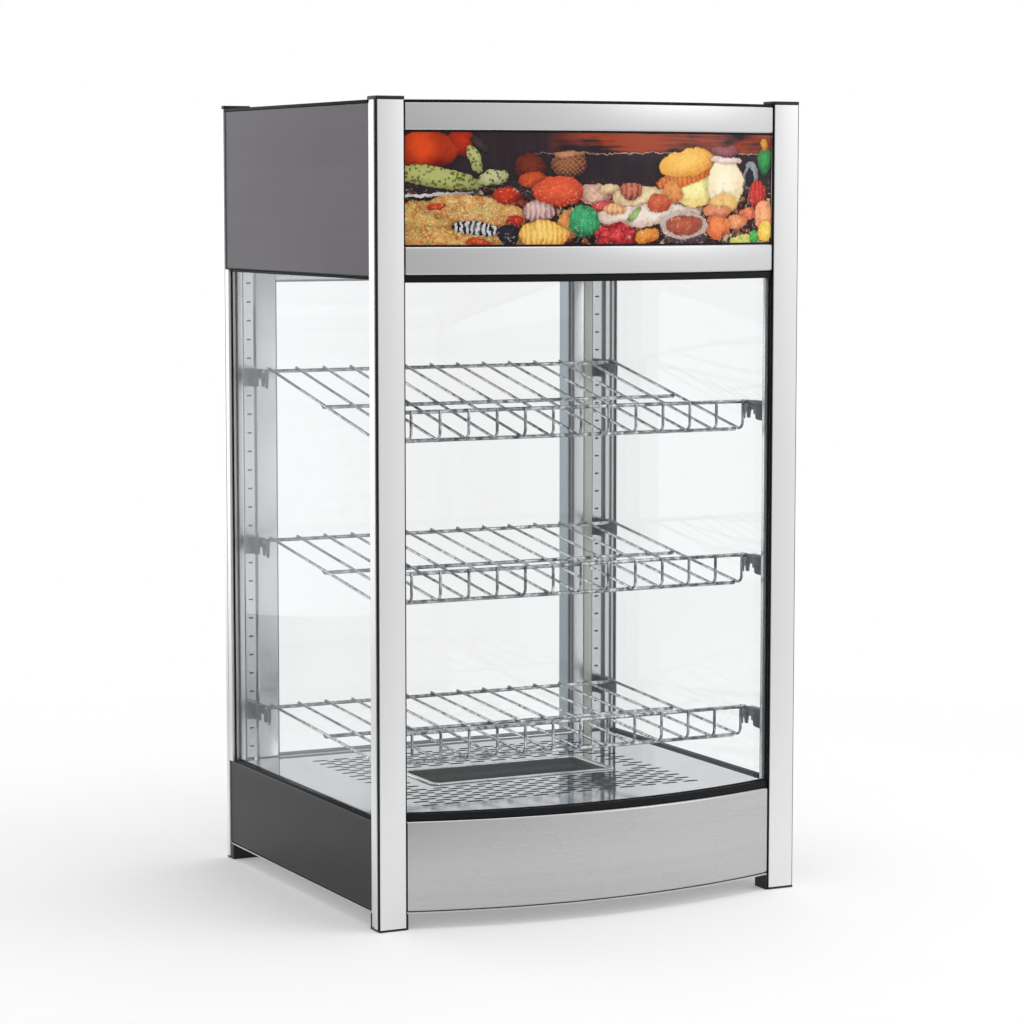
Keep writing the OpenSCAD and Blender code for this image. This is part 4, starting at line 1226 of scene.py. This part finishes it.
knob = {"ribs": 24, "ribDepth": 0.5, "grip": 13.0, "ticks": 11, "firstTick": 225, "tickStep": 27}
knobLow, knobHigh = cadBoxOf("thermostat_knob")
knobMid = (knobLow + knobHigh) / 2
skirtR = (knobHigh.x - knobLow.x) / 2
panelY = cadHigh("base_rear_panel").y
work = bmesh.new()
profile = [(3.0, knobLow.y), (3.0, panelY + 2), (skirtR - 0.8, panelY + 2), (skirtR, panelY + 2.8),
           (skirtR - 0.6, panelY + 5.2), (skirtR - 3.2, panelY + 6.2), (knob["grip"] + 0.4, panelY + 7),
           (knob["grip"], panelY + 8), (knob["grip"] - 0.6, panelY + 16.4), (knob["grip"] - 2, panelY + 17.8),
           (2, panelY + 18.2)]
turned(work, profile, knobMid, 96)
for vert in work.verts:
    away = Vector((vert.co.x / mm - knobMid.x, 0, vert.co.z / mm - knobMid.z))
    if panelY + 7.5 < vert.co.y / mm < panelY + 17 and away.length > 8:
        turn = math.atan2(away.z, away.x)
        vert.co -= away.normalized() * (1 - math.cos(turn * knob["ribs"])) / 2 * knob["ribDepth"] * mm
addWork(work, "thermostat_knob_grip", "controls", "knob", "control_plastic", ["thermostat_knob"])
pointer = ((knobMid.x - 0.7, panelY + 17.2, knobMid.z + 3), (knobMid.x + 0.7, knobHigh.y, knobMid.z + 11))
addBoxes("knob_pointer", [pointer], 0.3, "white", "knob", "control_plastic")

# raised ticks round the knob
work = bmesh.new()
for k in range(knob["ticks"]):
    angle = math.radians(knob["firstTick"] - knob["tickStep"] * k)
    radial = Vector((math.cos(angle), 0, math.sin(angle)))
    across = Vector((-radial.z, 0, radial.x))
    centre = Vector((knobMid.x, panelY, knobMid.z)) + radial * (skirtR + 4.5)
    reach = 2.4 if k % 5 == 0 else 1.5
    corners = [centre + radial * a * reach + across * b * 0.45 for a, b in around]
    prism(work, [(corner.x, corner.z) for corner in corners], "Y", panelY - 0.02, panelY + 0.18)
addWork(work, "knob_scale_ticks", "controls", "case", "control_plastic")

glandLow, glandHigh = cadBoxOf("cable_gland")
glandMid = (glandLow + glandHigh) / 2
gland = {"bore": 4.5, "body": 8.0, "collar": 9.5, "nut": 12, "nutBore": 8.02, "steps": 48}
bore, body = gland["bore"], gland["body"]
work = bmesh.new()
ring = [(bore, glandLow.y), (body, glandLow.y), (body, panelY + 5), (gland["collar"], panelY + 5),
        (gland["collar"], glandHigh.y - 3), (body, glandHigh.y), (bore + 0.6, glandHigh.y),
        (bore, glandHigh.y - 1)]
loops = circled(work, ring, glandMid, gland["steps"])
for here, after in zip(loops, loops[1:] + loops[:1]):
    strapped(work, here, after)
# a hexagon nut on each side of the panel
corners = circle(glandMid, gland["nut"], 6)
onFlat = gland["steps"] // 6
hexagon = []
for here, after in zip(corners, corners[1:] + corners[:1]):
    hexagon += [here.lerp(after, k / onFlat) for k in range(onFlat)]
inner = circle(glandMid, gland["nutBore"], gland["steps"])
for start, end in ((panelY, panelY + 5), (panelY - 9, panelY - 1.5)):
    rows = [[work.verts.new(Vector((spot.x, y, spot.y)) * mm) for spot in points]
            for points, y in ((inner, start), (hexagon, start), (hexagon, end), (inner, end))]
    for here, after in zip(rows, rows[1:] + rows[:1]):
        strapped(work, here, after)
addWork(work, "cable_gland_nut", "controls", "case", "gland_plastic", ["cable_gland"])

work = bmesh.new()
screwLow, screwHigh = cadBoxOf("panel_screws")
screwX = screwHigh.x - 3.6
zs = [cadLow("panel_screws").z + 3.6, cadHigh("base_rear_panel").z - 12,
      cadLow("header_rear_panel").z + 14, cadHigh("header_rear_panel").z - 14]
for x in (-screwX, screwX):
    for z in zs:
        head = [(1.5, screwLow.y), (1.5, panelY), (3.6, panelY), (3.5, panelY + 0.7), (2.9, panelY + 1.4),
                (1.6, panelY + 1.8), (1.2, panelY + 1.2), (0.3, panelY + 1.0)]
        turned(work, head, Vector((x, 0, z)), 24)
addWork(work, "panel_screw_heads", "hinge", "case", "hinge_steel", ["panel_screws"])
print("rear hardware made")


# finishes of the parts that keep their own shape

kept = {
    "rear": ["base_rear_panel", "header_rear_panel"],
    "pan": ["base_bottom_pan", "ceiling_panel", "element_brackets"],
    "hinge": ["door_hinge_leaves", "post_hinge_leaves", "hinge_pins"],
    "element": ["heating_element"],
    "opal": ["light_diffuser"],
    "lamp": ["lamp_tube"],
    "white": ["lamp_holders", "lamp_driver", "magnet_catch"],
    "controls": ["thermostat_body", "switch_housings", "light_rocker"],
    "red": ["power_rocker"],
}
for finish, nodes in kept.items():
    for node in nodes:
        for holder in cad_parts[node].material_slots:
            holder.material = mats[finish]


# floor, light and camera

studio = {
    "floor": 0.86, "floorGlow": 0.22, "fade": (0.62, 1.3), "background": (1.0, 1.0, 1.0),
    "bright": 1.3, "dim": 0.2, "from": (0.88, -0.22, 0.28), "aim": (0, 0, 0.4),
    "softboxes": {
        "key_softbox": (10.0, 1.6, (2.2, -2.4, 1.8)), "top_softbox": (14.0, 1.8, (0.2, -0.4, 2.6)),
        "side_softbox": (22.0, 2.4, (-1.7, 2.9, 0.9)),
    },
    "lens": 111.9, "sensor": 36, "stand": (-1.4764, -2.9827, 0.7165), "turn": 26.47, "tilt": 5.7,
}

work = bmesh.new()
side = studio["fade"][1]
corners = [work.verts.new((sx * side, sy * side, 0)) for sx, sy in around]
work.faces.new(corners)
mesh = meshOf("counter", work)
counter = bpy.data.objects.new("counter", mesh)
bpy.context.scene.collection.objects.link(counter)
glow = studio["floorGlow"]
pale = Finish("pale_counter", Roughness=0.8, Emission_Color=(1, 1, 1, 1), Emission_Strength=glow)
mottle = pale.noise(pale.place, scale=3)
pale.set("Base Color", pale.mix(mottle, [studio["floor"]] * 3, [studio["floor"] + 0.02] * 3))
away = pale.vector("LENGTH", pale.place, out=1)
inner, outer = studio["fade"]
pale.set("Alpha", ((outer - away) / (outer - inner)).clamped())
mesh.materials.append(pale.material)

# light from all round, brighter towards one side, behind a plain background
world = bpy.data.worlds.new("studio")
bpy.context.scene.world = world
sky = NodeTree(world)
facing = sky.node("ShaderNodeTexCoord", out="Generated")
facing = sky.vector("DOT_PRODUCT", facing, Vector(studio["from"]).normalized(), out=1)
strength = sky.ranged(facing, -1, 1, studio["dim"], studio["bright"])
light = sky.node("ShaderNodeBackground", {}, {"Strength": strength})
plain = sky.node("ShaderNodeBackground", {}, {"Color": (*studio["background"], 1)})
seen = sky.node("ShaderNodeLightPath", out="Is Camera Ray")
blend = sky.node("ShaderNodeMixShader", {}, {0: seen, 1: light, 2: plain})
sky.node("ShaderNodeOutputWorld", {}, {"Surface": blend})

for name, (power, size, at) in studio["softboxes"].items():
    lamp = bpy.data.lights.new(name, "AREA")
    lamp.energy = power
    lamp.size = size
    holder = bpy.data.objects.new(name, lamp)
    holder.location = at
    holder.visible_camera = False
    holder.rotation_euler = (Vector(studio["aim"]) - Vector(at)).to_track_quat("-Z", "Y").to_euler()
    bpy.context.scene.collection.objects.link(holder)

lens = bpy.data.cameras.new("camera")
lens.lens = studio["lens"]
lens.sensor_width = studio["sensor"]
camera = bpy.data.objects.new("camera", lens)
camera.location = studio["stand"]
turn, tilt = math.radians(studio["turn"]), math.radians(studio["tilt"])
ahead = Vector((math.sin(turn) * math.cos(tilt), math.cos(turn) * math.cos(tilt), -math.sin(tilt)))
camera.rotation_euler = ahead.to_track_quat("-Z", "Y").to_euler()
bpy.context.scene.collection.objects.link(camera)
bpy.context.scene.camera = camera
bpy.context.scene.view_settings.view_transform = "Standard"

print("all made")
